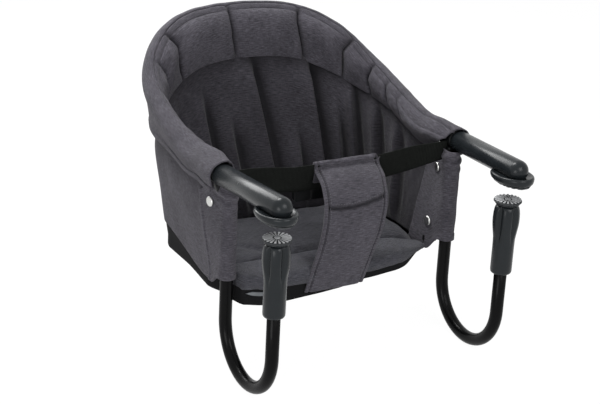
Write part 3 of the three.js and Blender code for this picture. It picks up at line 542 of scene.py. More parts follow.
ZINC = bright_zinc("bright_zinc")
THREAD = thread("charcoal_thread", (0.15, 0.145, 0.165))
# The strip's pale grey is partly painted highlight, standing in for the gloss along its edge.
STRIP = moulded_plastic("edge_strip_finish", (0.16, 0.17, 0.18), 0.22)


def placed(name, data):
    piece = bpy.data.objects.new(name, data)
    bpy.context.scene.collection.objects.link(piece)
    return piece


def finished(name, bm, material, body="frame", slot=None, stands_for=()):
    """Turns a bmesh in millimetres into an object in metres that rides on a body."""
    bmesh.ops.scale(bm, vec=(MM, MM, MM), verts=bm.verts)
    mesh = bpy.data.meshes.new(name)
    bm.to_mesh(mesh)
    bm.free()
    mesh.materials.append(material)
    mesh.shade_smooth()
    piece = placed(name, mesh)
    if body:
        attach(piece, body)
    if stands_for:
        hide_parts(*stands_for)
    return piece


def cloth_grid(columns, rows, place, size, crease=None):
    """A sheet of cloth: place(u, v) says where each point goes, crease(u, v) how much painted shade it gets
    in its material.
    """
    bm = bmesh.new()
    bmesh.ops.create_grid(bm, x_segments=columns, y_segments=rows, size=0.5)
    uv = bm.loops.layers.uv.verify()
    for face in bm.faces:
        for loop in face.loops:
            u, v = loop.vert.co.x + 0.5, loop.vert.co.y + 0.5
            loop[uv].uv = (u * size[0] * MM, v * size[1] * MM)
    # The crease attribute carries painted shade, which the cloth materials darken by.
    painted_shade = bm.verts.layers.float.new("crease") if crease else None
    for vert in bm.verts:
        u, v = vert.co.x + 0.5, vert.co.y + 0.5
        vert.co = place(u, v)
        if crease:
            vert[painted_shade] = clamp(crease(u, v))
    return bm


def cloth_piece(
    name, material, slot, place, counts, size, nodes=(), wall=(1.6, 1), crease=None, body="frame",
):
    """A finished sheet of cloth. The wall says how thick it is and to which side of its points it grows;
    crease gives each point its painted shade.
    """
    bm = cloth_grid(*counts, place, size, crease)
    piece = finished(name, bm, material, body, slot, nodes)
    solid = piece.modifiers.new("thickness", "SOLIDIFY")
    solid.thickness = wall[0] * MM
    solid.offset = wall[1]
    solid.use_even_offset = False
    return piece


def edges_of(verts):
    return list({edge for vert in verts for edge in vert.link_edges})


def rounded(bm, edges, offset, segments):
    bmesh.ops.bevel(
        bm, geom=edges, offset=offset, segments=segments, profile=0.5, affect="EDGES", material=-1,
    )


def drawn_out(bm, edges):
    """Draws a closed loop of edges out of itself, and gives the new points and the new loop."""
    made = bmesh.ops.extrude_edge_only(bm, edges=edges)["geom"]
    verts = [item for item in made if isinstance(item, bmesh.types.BMVert)]
    edges = [item for item in made if isinstance(item, bmesh.types.BMEdge) and item.is_boundary]
    return verts, edges


def lathe(profile, steps):
    """A closed round body about +Z from (radius, level) pairs, from the axis to the axis or round a ring."""
    bm = bmesh.new()
    verts = [bm.verts.new((radius, 0, level)) for radius, level in profile]
    edges = [bm.edges.new(pair) for pair in zip(verts, verts[1:])]
    bmesh.ops.spin(
        bm, geom=verts + edges, cent=(0, 0, 0), axis=(0, 0, 1), angle=2 * math.pi, steps=steps,
        use_merge=True,
    )
    bmesh.ops.remove_doubles(bm, verts=bm.verts, dist=0.001)
    bmesh.ops.recalc_face_normals(bm, faces=bm.faces)
    return bm


def ring_stack(rings):
    """A closed body through rings of equally many points, drawn out from one ring to the next."""
    bm = bmesh.new()
    loop = bmesh.ops.create_circle(bm, segments=len(rings[0]), radius=1)["verts"]
    for vert, place in zip(loop, rings[0]):
        vert.co = place
    edges = edges_of(loop)
    for ring in rings[1:]:
        fresh, edges = drawn_out(bm, edges)
        partner = {}
        for vert in fresh:
            for edge in vert.link_edges:
                other = edge.other_vert(vert)
                if other in loop:
                    partner[other] = vert
        loop = [partner[vert] for vert in loop]
        for vert, place in zip(loop, ring):
            vert.co = place
    bmesh.ops.holes_fill(bm, edges=[edge for edge in bm.edges if edge.is_boundary])
    bmesh.ops.recalc_face_normals(bm, faces=bm.faces)
    return bm


def round_ring(radius, level, count, wave=None):
    places = []
    for i in range(count):
        angle = 2 * math.pi * i / count
        reach = radius + (wave(angle) if wave else 0)
        places.append(Vector((reach * math.cos(angle), reach * math.sin(angle), level)))
    return places


def shaped(bm, matrix):
    bmesh.ops.transform(bm, matrix=matrix, verts=bm.verts)
    return bm


def stood_on(place, way):
    """Moves a body that was turned about +Z to a place, with its axis the given way."""
    turn = Vector((0, 0, 1)).rotation_difference(way).to_matrix().to_4x4()
    return Matrix.Translation(place) @ turn


def along_arm(side):
    way = (arm_point(side, 1) - arm_point(side, 0)).normalized()
    return stood_on(arm_point(side, 0), way)


def at_clamp(side):
    return Matrix.Translation((side * HOOK_HALF_SPACING, 0, 0))


def stitches(name, lines):
    """Sewing thread along lines of (place, face way) pairs."""
    bm = bmesh.new()
    for places in lines:
        line = Line([place for place, _ in places])
        count = max(2, int(line.length / STITCH_PITCH))
        for i in range(count):
            share = (i + 0.5) / count
            along = line.way(share)
            face = places[round(share * (len(places) - 1))][1]
            side = along.cross(face).normalized()
            turn = Matrix((along * 2.9, side * 0.75, along.cross(side) * 0.7)).transposed().to_4x4()
            middle = Matrix.Translation(line.at(share))
            bmesh.ops.create_uvsphere(bm, u_segments=6, v_segments=4, radius=0.5, matrix=middle @ turn)
    return finished(name, bm, THREAD, "frame", "fabric")


# Rim cover: an outer band that wraps over the tube, and a padded collar inside it.
# Each dart of the collar: its place along the hoop at its top and at its foot, and its depth
DARTS = (
    (0.298, 0.292, 2.6), (0.345, 0.338, 3.4), (0.389, 0.396, 7.0), (0.485, 0.487, 7.0), (0.576, 0.585, 8.0),
    (0.652, 0.648, 7.0), (0.698, 0.703, 6.0), (0.733, 0.752, 4.5), (0.762, 0.794, 3.6),
)
BAND_ROWS = 0.24
ROLL_ROWS = 0.64
TOP_SEAM = math.radians(137)


def from_back(share):
    return abs(share - 0.5)


def as_cuff(share):
    """0 where the rim is rolled, 1 where it is a cuff round the arm."""
    return ease(0.325, 0.372, from_back(share))


def rim_radius(share):
    roll = ROLL_RADIUS - 3 * hump(from_back(share) - 0.17, 0.07)
    return mix(roll, CUFF_RADIUS, as_cuff(share))


def outer_radius(share):
    return mix(ROLL_OUTER_RADIUS, CUFF_RADIUS, as_cuff(share))


def band_depth(share):
    x = from_back(share)
    return 17 + 43 * ease(0.30, 0.16, x) + 7 * ease(0.33, 0.37, x)


def collar_depth(share):
    x = from_back(share)
    return 24 + 44 * ease(0.27, 0.09, x) - 7 * ease(0.31, 0.37, x)


def nearest_dart(share, fall):
    """Distance in millimetres to the nearest dart of the collar, and that dart's depth."""
    return min((abs(share - mix(top, low, fall)) * HOOP.length, depth) for top, low, depth in DARTS)


def collar_out(share, fall):
    """How far the collar's face stands from the wall's middle, inside the bucket."""
    distance, depth = nearest_dart(share, fall)
    pad = 4 + 9 * ease(0.26, 0.1, from_back(share))
    pillow = 0.4 + 0.6 * (1 - hump(distance, 22))
    groove = 1.5 * depth * hump(distance, 4.6) * math.sin(math.pi * clamp(0.1 + 0.86 * fall)) ** 0.5
    crease = wrinkle(Vector((share * 60, fall * 2, 3.1)), 1.8, 1.1, 2.7) * math.sin(math.pi * fall)
    swell = pad * pillow * math.sin(math.pi * fall ** 0.62)
    top = rim_radius(share) + inner_padding(share) - 0.8
    return groove + crease - swell - mix(top, 6.5, fall ** 1.6)


def band_out(share, depth):
    """How far the outer skin stands from the wall's middle, outside the bucket."""
    fall = clamp(depth / section(share).skin_height)
    drape = 1.8 * noise.noise(Vector((share * 30, fall * 3, 7.7))) * math.sin(math.pi * fall)
    return 1.5 + (outer_radius(share) - 1.5) * (1 - fall) ** 2.6 + 3.5 * math.sin(math.pi * fall) + drape


def inner_padding(share):
    """Extra stuffing on the inner side of the rim, where it runs out to the arms."""
    x = from_back(share)
    return 11 * hump(x - 0.325, 0.055) * ease(0.39, 0.35, x) + 2


def roll_radius(share, angle):
    """Radius of the rolled rim from its outer side, over its top with the seam, to its inner side."""
    distance, depth = nearest_dart(share, 0)
    inner = ease(TOP_SEAM - 0.5, TOP_SEAM + 0.2, angle)
    tuck = 0.5 * depth * hump(distance, 5) * inner
    seam = 2.2 * hump(angle - TOP_SEAM, 0.09) + 0.8 * ease(TOP_SEAM - 0.06, TOP_SEAM + 0.06, angle)
    ripple = (0.6 + 1.1 * inner) * noise.noise(Vector((share * 80, angle * 0.8, 1.2)))
    plain = mix(outer_radius(share), rim_radius(share), ease(0, 1.3, angle))
    return plain + inner_padding(share) * ease(1.3, 2.5, angle) + ripple * math.sin(angle) - tuck - seam


def rim_share(u, v):
    """Share of the hoop for a point of the rim cover, whose ends are cut back on the inner side."""
    slant = 0.022 * max(0.5 - v, 0) ** 1.3 + 0.075 * max(v - 0.5, 0) ** 1.2
    return mix(CUFF_FROM + slant, 1 - CUFF_FROM - slant, u)


def rim_cover_point(u, v):
    share = rim_share(u, v)
    cut = section(share)
    if v < BAND_ROWS:
        low = band_depth(share)
        depth = low * (1 - v / BAND_ROWS)
        hem = 1.8 * ease(low - 8, low - 6.5, depth)
        return cut.skin(depth, band_out(share, depth) + hem)
    if v < ROLL_ROWS:
        angle = math.pi * (v - BAND_ROWS) / (ROLL_ROWS - BAND_ROWS)
        return cut.roll(angle, roll_radius(share, angle))
    fall = (v - ROLL_ROWS) / (1 - ROLL_ROWS)
    return cut.wall(fall * collar_depth(share), collar_out(share, fall))


# Painted shade on the rim cover: a dark line along the top seam's groove and shadow in the collar's darts.
def rim_painted_shade(u, v):
    share = rim_share(u, v)
    if v < BAND_ROWS:
        return 0
    fall = max(v - ROLL_ROWS, 0) / (1 - ROLL_ROWS)
    angle = math.pi * clamp((v - BAND_ROWS) / (ROLL_ROWS - BAND_ROWS))
    distance, depth = nearest_dart(share, fall)
    seam = 0.5 * hump(angle - TOP_SEAM, 0.1)
    return seam + 0.13 * depth * hump(distance, 4.2) * ease(TOP_SEAM - 0.1, TOP_SEAM + 0.3, angle)


def rim_cover():
    nodes = ("rim_sleeve", "left_arm_cuff", "right_arm_cuff", "back_collar")
    size = (HOOP.length * (1 - 2 * CUFF_FROM), 190)
    cover = cloth_piece(
        "rim_cover", CLOTH, "fabric", rim_cover_point, (400, 108), size, nodes, (1.7, -1), rim_painted_shade,
    )


# Bucket walls: a smooth outer cover, and a lining that is gathered into the collar.
# Each fold of the lining: its place at its top and at its foot, its height, and how far down it starts
FOLDS = (
    (0.232, 0.215, 5, 0.0), (0.300, 0.285, 7, 0.15), (0.360, 0.340, 8, 0.1), (0.421, 0.398, 11, 0.1),
    (0.458, 0.446, 9, 0.3), (0.500, 0.515, 14, -0.1), (0.552, 0.567, 8, 0.4), (0.585, 0.612, 16, -0.2),
    (0.628, 0.650, 10, 0.2), (0.660, 0.680, 12, -0.1), (0.708, 0.724, 11, 0.0), (0.762, 0.772, 8, 0.0),
)
VALLEY_PLACE = 13
VALLEY_WIDTH = 9


def folds_at(share, fall):
    """The lining's folds near a point: each one's height and the distance to its ridge."""
    reach = HOOP.length * mix(1, 0.7, fall)
    for top, low, high, start in FOLDS:
        away = (share - mix(top, low, fall)) * reach
        yield high * ease(start, start + 0.3, fall) * ease(1.08, 0.8, fall), away


def lining_out(share, fall):
    """Each fold swells gently on its left and drops into a valley on its right."""
    folds = 0.0
    for high, away in folds_at(share, fall):
        rise = math.exp(away / 20) if away < 0 else hump(away, 6)
        folds += high * (rise - 0.8 * hump(away - VALLEY_PLACE, VALLEY_WIDTH))
    body = math.sin(math.pi * clamp(0.1 + 0.84 * fall)) ** 0.7
    crease = wrinkle(Vector((share * 42, fall * 2.5, 9.4)), 2.0, 1.2, 2.3)
    out = (crease + 2.0) * body - folds * ease(-0.05, 0.18, fall) - mix(5, 2.5, fall)
    return out if out < 0 else 3 * (1 - math.exp(-out / 3))


# Painted shade on the lining: a shadow under the collar's edge, darker towards the seat, and shadow in the
# valley to the right of each fold.
def lining_painted_shade(u, v):
    share, fall = mix(WALL_FROM, 1 - WALL_FROM, u), 1 - v
    lining_shade = 0.5 * hump(fall - 0.02, 0.06) + 0.25 * ease(0.15, 0.7, fall) + 0.35 * ease(0.7, 1, fall)
    for high, away in folds_at(share, fall):
        valley = 1.1 * hump(away - VALLEY_PLACE, VALLEY_WIDTH) + 0.4 * hump(away - 24, 16)
        lining_shade += high / 13 * valley
    return lining_shade


def lining_point(u, v):
    share = mix(WALL_FROM, 1 - WALL_FROM, u)
    cut = section(share)
    fall = 1 - v
    depth = mix(collar_depth(share) - 5, cut.height + 2, fall)
    return cut.wall(depth, lining_out(share, fall))


def lining():
    nodes = ("back_panel", "left_side_panel", "right_side_panel")
    size = (HOOP.length * 0.55, 190)
    cloth = cloth_piece(
        "bucket_lining", SHADED_LINING_CLOTH, "fabric", lining_point, (440, 44), size, nodes, crease=lining_painted_shade,
    )


def lower_edge(share):
    """Height of the black lower band over the seat's edge, larger at the rear corners."""
    return -10 + 32 * ease(0.35, 0.20, from_back(share))


def cover_share(u, v):
    """Share of the hoop for a point of the outer cover, which reaches further forward at its foot."""
    front = WALL_FROM - 0.024 * v
    return mix(front, 1 - front, u)


def outer_cover_point(u, v):
    share = cover_share(u, v)
    cut = section(share)
    top, low = band_depth(share) - 6, cut.skin_height - lower_edge(share)
    depth = mix(top, low, v)
    recess = 2.4 + 6.5 * hump(depth - band_depth(share), 20)
    point = cut.skin(depth, band_out(share, depth) - recess)
    under_flap = ease(flap_seam(point.z) + 6, flap_seam(point.z), point.y)
    return point - cut.hem_out * (7 * under_flap)


# Painted shade on the outer cover: a shadow under the band's hem and along the flap's rear seam, with random
# darker patches.
def outer_painted_shade(u, v):
    share = cover_share(u, v)
    point = outer_cover_point(u, v)
    depth = v * (section(share).skin_height - lower_edge(share) - band_depth(share) + 6)
    seam = hump(point.y - flap_seam(point.z), 4)
    sweep = 0.35 * noise.noise(Vector((share * 26, v * 3, 2.9)))
    return 0.8 * math.exp(-depth / 20) + 1.2 * seam + max(sweep, 0)


def outer_cover():
    size = (HOOP.length * 0.6, 170)
    cloth = cloth_piece(
        "outer_cover", CLOTH, "fabric", outer_cover_point, (330, 36), size, crease=outer_painted_shade,
    )


BAND_TURN = 0.55


def lower_band_point(u, v):
    """v runs down the wall to BAND_TURN, and from there down past the seat's edge."""
    share = cover_share(u * 0.975, 1)
    cut = section(share)
    end = ease(0.93, 1, u)
    turn_in = Vector((-22, -20, 0)) * end + Vector((17, -24, 0)) * ease(0.024, 0, u)
    edge_depth = cut.skin_height
    if v < BAND_TURN:
        depth = mix(edge_depth - max(lower_edge(share), 0) - 4, edge_depth, v / BAND_TURN)
        return cut.skin(depth, band_out(share, depth) - 4) + turn_in
    edge = cut.skin(edge_depth, band_out(share, edge_depth) - 4)
    drop = (v - BAND_TURN) / (1 - BAND_TURN)
    inward = cut.hem_out * (-9 * ease(0.62, 1, drop))
    height = (SEAT_UNDERSIDE - SEAT_EDGE_LEVEL) * (1 - 0.5 * end) - 9 * ease(0.13, 0, u)
    return edge + inward + turn_in + Vector((0, 0, height * math.sin(drop * math.pi / 2)))


def lower_band():
    size = (HOOP.length * 0.5, 40)
    band = cloth_piece(
        "lower_band", LINING, "black_fabric", lower_band_point, (300, 20), size, wall=(1.4, 1),
    )


# Leg flaps
def flap_seam(level):
    return mix(FLAP_SEAM_TOP, FLAP_SEAM_FOOT, ease(-20, -150, level))


def hoop_share(y):
    return (y - HOOP_TIP) / (HOOP.length * math.cos(ARM_SPLAY) * math.cos(ARM_DROP))


def wall_at(side, y, level, outer):
    """Point of the outer cover or of the lining at a depth along the chair and a level."""
    share = hoop_share(y) if side < 0 else 1 - hoop_share(y)
    cut = section(share)
    height = cut.skin_height if outer else cut.height
    low, high = 0.0, height
    for _ in range(16):
        middle = (low + high) / 2
        place = cut.skin(middle, 0) if outer else cut.wall(middle, 0)
        low, high = (middle, high) if place.z > level else (low, middle)
    if outer:
        return cut.skin(low, band_out(share, low) + 0.6)
    return cut.wall(low, lining_out(share, clamp(low / height)) - 3.0)


@lru_cache(maxsize=None)
def flap_line(side, level):
    """The flap's line in plan at a level: outer face, round the leg, inner face."""
    leg = Vector((side * HOOK_HALF_SPACING, HOOK_DEPTH))
    outer = wall_at(side, flap_seam(level), level, True).xy
    inner = wall_at(side, FLAP_INNER_SEAM, level, False).xy
    touch = []
    for end, turn in ((outer, -side), (inner, side)):
        way = end - leg
        touch.append(math.atan2(way.y, way.x) + turn * math.acos(FLAP_RADIUS / way.length))
    start, stop = touch
    while side * (stop - start) > 0:
        stop -= side * 2 * math.pi
    arc = []
    for step in range(17):
        angle = mix(start, stop, step / 16)
        arc.append(leg + Vector((math.cos(angle), math.sin(angle))) * FLAP_RADIUS)
    return Line([Vector((p.x, p.y, level)) for p in (outer, *arc, inner)])


def flap_place(side, u, fall):
    """Point of a flap and the way its face looks: u runs round it, fall down it."""
    top = FLAP_TOP - 21 * ease(0.22, 0, u)
    low = FLAP_BOTTOM - 22 * ease(0.53, 0.72, u) - 15 * ease(0.26, 0.06, u)
    level = mix(top, low, fall)
    line = flap_line(side, 2 * round(level / 2))
    point = line.at(u)
    point.z = level
    return point, outward(line, u) * side


def leg_flap(name, side):
    def place(u, v):
        fall = 1 - v
        point, face = flap_place(side, u, fall)
        gather = hump(fall - 0.05, 0.16) * (0.4 + ease(0.1, 0.4, u))
        pucker = 1.1 * math.sin(fall * 62 + 3 * math.sin(u * 7)) * gather
        drape = 1.4 * noise.noise(Vector((u * 5, fall * 4, side * 3.3))) * math.sin(math.pi * clamp(u))
        hem = 1.0 * ease(0.93, 0.94, fall) + 1.2 * ease(0.04, 0.025, u)
        return point + face * (pucker + drape + hem)

    nodes = (f"{name}_leg_sleeve", f"{name}_flap_gusset")
    flap = cloth_piece(
        f"{name}_leg_flap", CLOTH, "fabric", place, (110, 70), (150, 140), nodes, (1.6, 0), body=None,
    )
    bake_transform(flap)


# Seat: padded cushion, soft nose, black binding under it
def nose_front(x):
    """The nose's front line: nearly straight in its middle and left, rounded back to the right."""
    return NOSE_FRONT + 14 * ease(-128, -165, x) + 28 * ease(-158, -168, x) + 36 * ease(72, 155, x)


def nose_lift(x):
    """The soft nose sags on the left and is drawn up on the right."""
    return 3 * ease(30, 90, x) + 4 * ease(90, 140, x)


def binding_lift(x):
    return 7 * ease(-20, 30, x) + 4 * ease(30, 90, x) + 10 * ease(95, 145, x) - 5.5 * ease(10, -120, x)


def seat_cushion():
    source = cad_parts["seat_cushion"].data.copy()
    piece = placed("seat_pad", source)
    bm = bmesh.new()
    bm.from_mesh(source)
    bmesh.ops.remove_doubles(bm, verts=bm.verts, dist=0.00001)
    centre = Vector((0, 0.25, -0.144))
    bmesh.ops.translate(bm, vec=-centre, verts=bm.verts)
    bmesh.ops.scale(bm, vec=(0.985, 0.985, 0.8), verts=bm.verts)
    bmesh.ops.translate(bm, vec=centre, verts=bm.verts)
    bm.to_mesh(source)
    bm.free()
    source.materials.clear()
    source.materials.append(SEAT_CLOTH)
    remesh = piece.modifiers.new("remesh", "REMESH")
    remesh.mode = "VOXEL"
    remesh.voxel_size = 0.005
    swell(piece, 0.006)
    crumple(piece)
    smooth = piece.modifiers.new("smooth", "SUBSURF")
    smooth.levels = 1
    smooth.render_levels = 1
    piece.data.shade_smooth()
    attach(piece, "frame")
    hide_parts("seat_cushion")


def applied(piece):
    """Keeps what the piece's modifiers make as its own mesh."""
    graph = bpy.context.evaluated_depsgraph_get()
    mesh = bpy.data.meshes.new_from_object(piece.evaluated_get(graph))
    piece.modifiers.clear()
    piece.data = mesh


def swell(piece, most):
    """Blows a pad up with cloth simulation, and keeps each point near its place, most metres away."""
    applied(piece)
    rest = [vert.co.copy() for vert in piece.data.vertices]
    cloth = piece.modifiers.new("cloth", "CLOTH")
    cloth.settings.quality = 5
    cloth.settings.mass = 0.3
    cloth.settings.use_pressure = True
    cloth.settings.uniform_pressure_force = 4
    cloth.settings.effector_weights.gravity = 0
    scene = bpy.context.scene
    for step in range(1, SWELL_STEPS + 1):
        scene.frame_set(step)
    applied(piece)
    for vert, place in zip(piece.data.vertices, rest):
        move = vert.co - place
        if move.length > most:
            vert.co = place + move * (most / move.length)
    scene.frame_set(1)


def crumple(piece):
    """Presses soft creases into the top of a pad."""
    for vert in piece.data.vertices:
        place = Vector((vert.co.x / 0.055, vert.co.y / 0.035, 8.8))
        dent = wrinkle(place, 1, 0.5, 2.1)
        diagonal = hump(vert.co.x * 0.8 + vert.co.y - 0.125, 0.007) * ease(-0.16, -0.08, vert.co.x)
        vert.co.z += MM * (2.6 * dent - 5 * diagonal) * ease(0, 0.7, vert.normal.z)


# Where the nose's cloth is drawn in: start, lean, width and depth of each pull
NOSE_PULLS = ((-62, -70, 8, 5.0), (40, 60, 8, 3.0), (110, 40, 7, 3.4), (-118, 34, 7, 4.0))
NOSE_TOP_ROWS = 0.45
NOSE_FRONT_ROWS = 0.8


def nose_point(u, v):
    """v runs from the back of the nose over its top and down its front to its underside."""
    x = mix(NOSE_LEFT, NOSE_RIGHT, u)
    rear = SEAT_FRONT + 4
    end = ease(NOSE_RIGHT, NOSE_RIGHT - 22, x) ** 0.5
    bottom = NOSE_BOTTOM + nose_lift(x)
    crown = NOSE_TOP - 10 * ease(85, NOSE_RIGHT, x)
    radius = (crown - bottom) / 2
    middle = (crown + bottom) / 2
    inner = nose_front(x) + radius
    crease = wrinkle(Vector((u * 7, v * 2.2, 5.5)), 2.6, 1.5, 2.4)
    pull = sum(deep * hump(x - start + lean * v, width) for start, lean, width, deep in NOSE_PULLS)
    if v < NOSE_TOP_ROWS:
        run = v / NOSE_TOP_ROWS
        give = (crease - pull) * math.sin(math.pi / 2 * run)
        return Vector((x, mix(rear, inner, run), crown + give + 1.5 * end))
    if v < NOSE_FRONT_ROWS:
        run = (v - NOSE_TOP_ROWS) / (NOSE_FRONT_ROWS - NOSE_TOP_ROWS)
        reach = radius + (crease - 0.6 * pull) * 0.6 * end
        rise = (reach + 1.5 * end * (1 - run)) * math.cos(math.pi * run)
        return Vector((x, inner - reach * math.sin(math.pi * run), middle + rise))
    run = (v - NOSE_FRONT_ROWS) / (1 - NOSE_FRONT_ROWS)
    return Vector((x, mix(inner, rear - 3, run), bottom))


def seat_nose():
    nodes = ("seat_front_lip",)
    nose = cloth_piece("seat_nose", NOSE_CLOTH, "fabric", nose_point, (120, 48), (317, 130), nodes)
    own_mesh(nose)


def nose_binding():
    """Black cloth that closes the nose below its front."""
    def place(u, v):
        x = mix(NOSE_LEFT, NOSE_RIGHT, u)
        wave = 0.8 * noise.noise(Vector((u * 9, v, 2.2)))
        level = mix(NOSE_BOTTOM + nose_lift(x) + 5, BINDING_BOTTOM + binding_lift(x), v)
        return Vector((x, nose_front(x) + 5.5 - 2 * v + wave, level))

    nodes = ("seat_front_binding",)
    binding = cloth_piece(
        "nose_binding", LINING, "black_fabric", place, (100, 10), (317, 20), nodes, (1.6, 0),
    )
    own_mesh(binding)


def edge_strip():
    """Glossy strip at the nose's lower edge, pointed at its left end; its pale grey is partly painted
    highlight.
    """
    def place(u, v):
        x = mix(STRIP_LEFT, STRIP_RIGHT, u)
        half = 2.7 * ease(0, 0.22, u)
        return Vector((x, nose_front(x) + 2.4, NOSE_BOTTOM - 2.6 + half * (1 - 2 * v)))

    strip = cloth_piece("nose_edge_strip", STRIP, "slate_plastic", place, (40, 4), (45, 5), wall=(1.2, 0))
    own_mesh(strip)


def under_cover():
    """Black cloth under the seat, drawn tight over the board."""
    def place(u, v):
        half = SKIRT_HALF_WIDTH - 5 - 30 * ease(0.3, 0, v)
        x = half * (2 * u - 1)
        over = max(abs(x) - SKIRT_HALF_WIDTH + SKIRT_CORNER, 0)
        rear = SKIRT_REAR - SKIRT_CORNER + math.sqrt(max((SKIRT_CORNER - 4) ** 2 - over ** 2, 0))
        sag = 0.6 * noise.noise(Vector((u * 6, v * 6, 4.4)))
        return Vector((x, mix(SEAT_FRONT - 1, rear, v), SEAT_UNDERSIDE + 0.6 + sag))

    nodes = ("seat_under_cover",)
    cover = cloth_piece(
        "under_cover", LINING, "black_fabric", place, (60, 40), (360, 185), nodes, (1.4, 1),
    )


# Belt and crotch strap
def belt_level(x):
    outside = max(abs(x) - BELT_LEVEL_HALF, 0) / (BELT_HALF_LENGTH - BELT_LEVEL_HALF)
    return BELT_MIDDLE + BELT_RISE * outside


def waist_belt():
    """The belt runs forward and up at its ends, to the arms."""
    def place(u, v):
        x = BELT_HALF_LENGTH * (2 * u - 1)
        end = ease(BELT_TURN, BELT_HALF_LENGTH, abs(x)) ** 1.5
        bow = 1.2 * math.sin(2 * math.pi * u) - 19 * end
        folded = 9 * end * (1 - v)
        return Vector((x, BELT_Y + bow, belt_level(x) + 12 * end + (0.5 - v) * BELT_WIDTH - folded))

    size = (2 * BELT_HALF_LENGTH, BELT_WIDTH)
    belt = cloth_piece("belt", WEBBING, "webbing", place, (90, 6), size, ("waist_belt",), (2, 0))


def strap_line():
    fold, top = 4.4, BELT_MIDDLE + BELT_WIDTH / 2 + 0.3
    nose = NOSE_FRONT - 3

    def front(reach, drop):
        y = mix(BELT_Y - fold, nose, reach) - 3 * math.sin(math.pi * drop)
        return Vector((0, y, mix(top, STRAP_FOOT, drop)))

    behind = BELT_Y + fold
    back = [Vector((0, behind, top - 26)), Vector((0, behind, top)), Vector((0, BELT_Y, top + fold))]
    steps = ((0, 0), (0.05, 0.03), (0.46, 0.12), (0.84, 0.28), (1, 0.5), (1, 0.78), (1, 1))
    return smooth_line([*back, *(front(*step) for step in steps)], 24)


STRAP = strap_line()
STRAP_FOLD = max(range(201), key=lambda i: STRAP.at(i / 200).z) / 200
STRAP_CROSS = min(range(80, 201), key=lambda i: abs(STRAP.at(i / 200).z - STRAP_CROSS_LEVEL)) / 200


def cross_rise(across):
    """The line sewn across the strap is bowed, with its ends higher."""
    return 8 * across * across + 4 * across - 2


def strap_seam(u, across):
    """How near a point lies to a sewn line: one along each edge and one across."""
    edge = hump(abs(across) - STRAP_SEAM, 0.03) * ease(0.1, 0.15, u)
    if abs(across) >= STRAP_SEAM:
        return edge
    return edge + 1.5 * hump((u - STRAP_CROSS) * STRAP.length + cross_rise(across), 3.4)


def strap_place(u, across, over=0.0):
    """A point of the strap's upper face: u runs along it, across from -1 to 1 over its width."""
    point, way = STRAP.at(u), STRAP.way(u)
    share = clamp((point.z - STRAP_FOOT) / (BELT_MIDDLE + BELT_WIDTH / 2 - STRAP_FOOT))
    face = Vector((0, way.z, -way.y)).normalized()
    shift = mix(-25, 21, share)
    width = STRAP_WIDTH * (mix(0.97, 1.09, share) - 0.1 * ease(STRAP_FOLD, 0, u))
    filling = mix(2.6, 5.0, ease(STRAP_CROSS, STRAP_CROSS - 0.06, u))
    pad = filling * (1 - abs(across) ** 6) * ease(STRAP_FOLD, STRAP_FOLD + 0.1, u)
    wave = 1.2 * noise.noise(Vector((u * 9, across * 1.6, 6.1)))
    lift = pad + wave - 4.0 - 2.2 * strap_seam(u, across) + over
    return Vector((shift + across * width / 2, point.y, point.z)) + face * lift


def crotch_strap():
    def place(u, v):
        return strap_place(v, 2 * u - 1)

    # Painted shade along the strap's sewn lines, where its seams dip in.
    def crease(u, v):
        return 0.6 * strap_seam(v, 2 * u - 1)

    size = (STRAP_WIDTH, STRAP.length)
    strap = cloth_piece(
        "strap", CLOTH, "fabric", place, (100, 150), size, ("crotch_strap",), (4.2, 1), crease,
    )
    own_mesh(strap)


# Arms, feet, hooks and clamps: each function shapes one side's piece
def arm_sleeve(side):
    radius, end = SLEEVE_RADIUS, SLEEVE_END
    bore, bore_tip = TUBE_RADIUS + 0.4, SLEEVE_BORE_TIP
    profile = [(0, -SLEEVE_TIP)]
    for step in range(1, 13):
        angle = math.pi / 2 * step / 12
        profile.append((radius * math.sin(angle), radius * (1 - math.cos(angle)) - SLEEVE_TIP))
    profile += [(radius, end - 1), (radius - 1, end), (bore, end), (bore, bore_tip), (0, bore_tip)]
    return shaped(lathe(profile, 56), along_arm(side))


def foot_shoe(side):
    """An oval foot from rings of (inset, level), tilted towards its toe above its sole."""
    levels = (
        (5.0, 3.6), (2.4, 4.3), (0.9, 6.0), (0.2, 8.4), (0.0, 10.6), (0.5, 12.4), (1.8, 13.5), (3.4, 13.6),
        (4.8, 13.0), (6.4, 12.0), (9.0, 11.4), (13.0, 11.2),
    )
    rings = []
    for inset, level in levels:
        ring = []
        for i in range(72):
            angle = 2 * math.pi * i / 72
            y = (SHOE_HALF_LENGTH - inset) * math.sin(angle)
            tilt = 1.6 * ease(0, -SHOE_HALF_LENGTH, y) - 2.4 * ease(5, SHOE_HALF_LENGTH, y)
            x = (SHOE_HALF_WIDTH - inset) * math.cos(angle)
            ring.append(Vector((x, y, level + tilt * ease(7, 13, level))))
        rings.append(ring)
    return shaped(ring_stack(rings), Matrix.Translation((side * ARM_HALF_SPACING, 0, 0)))


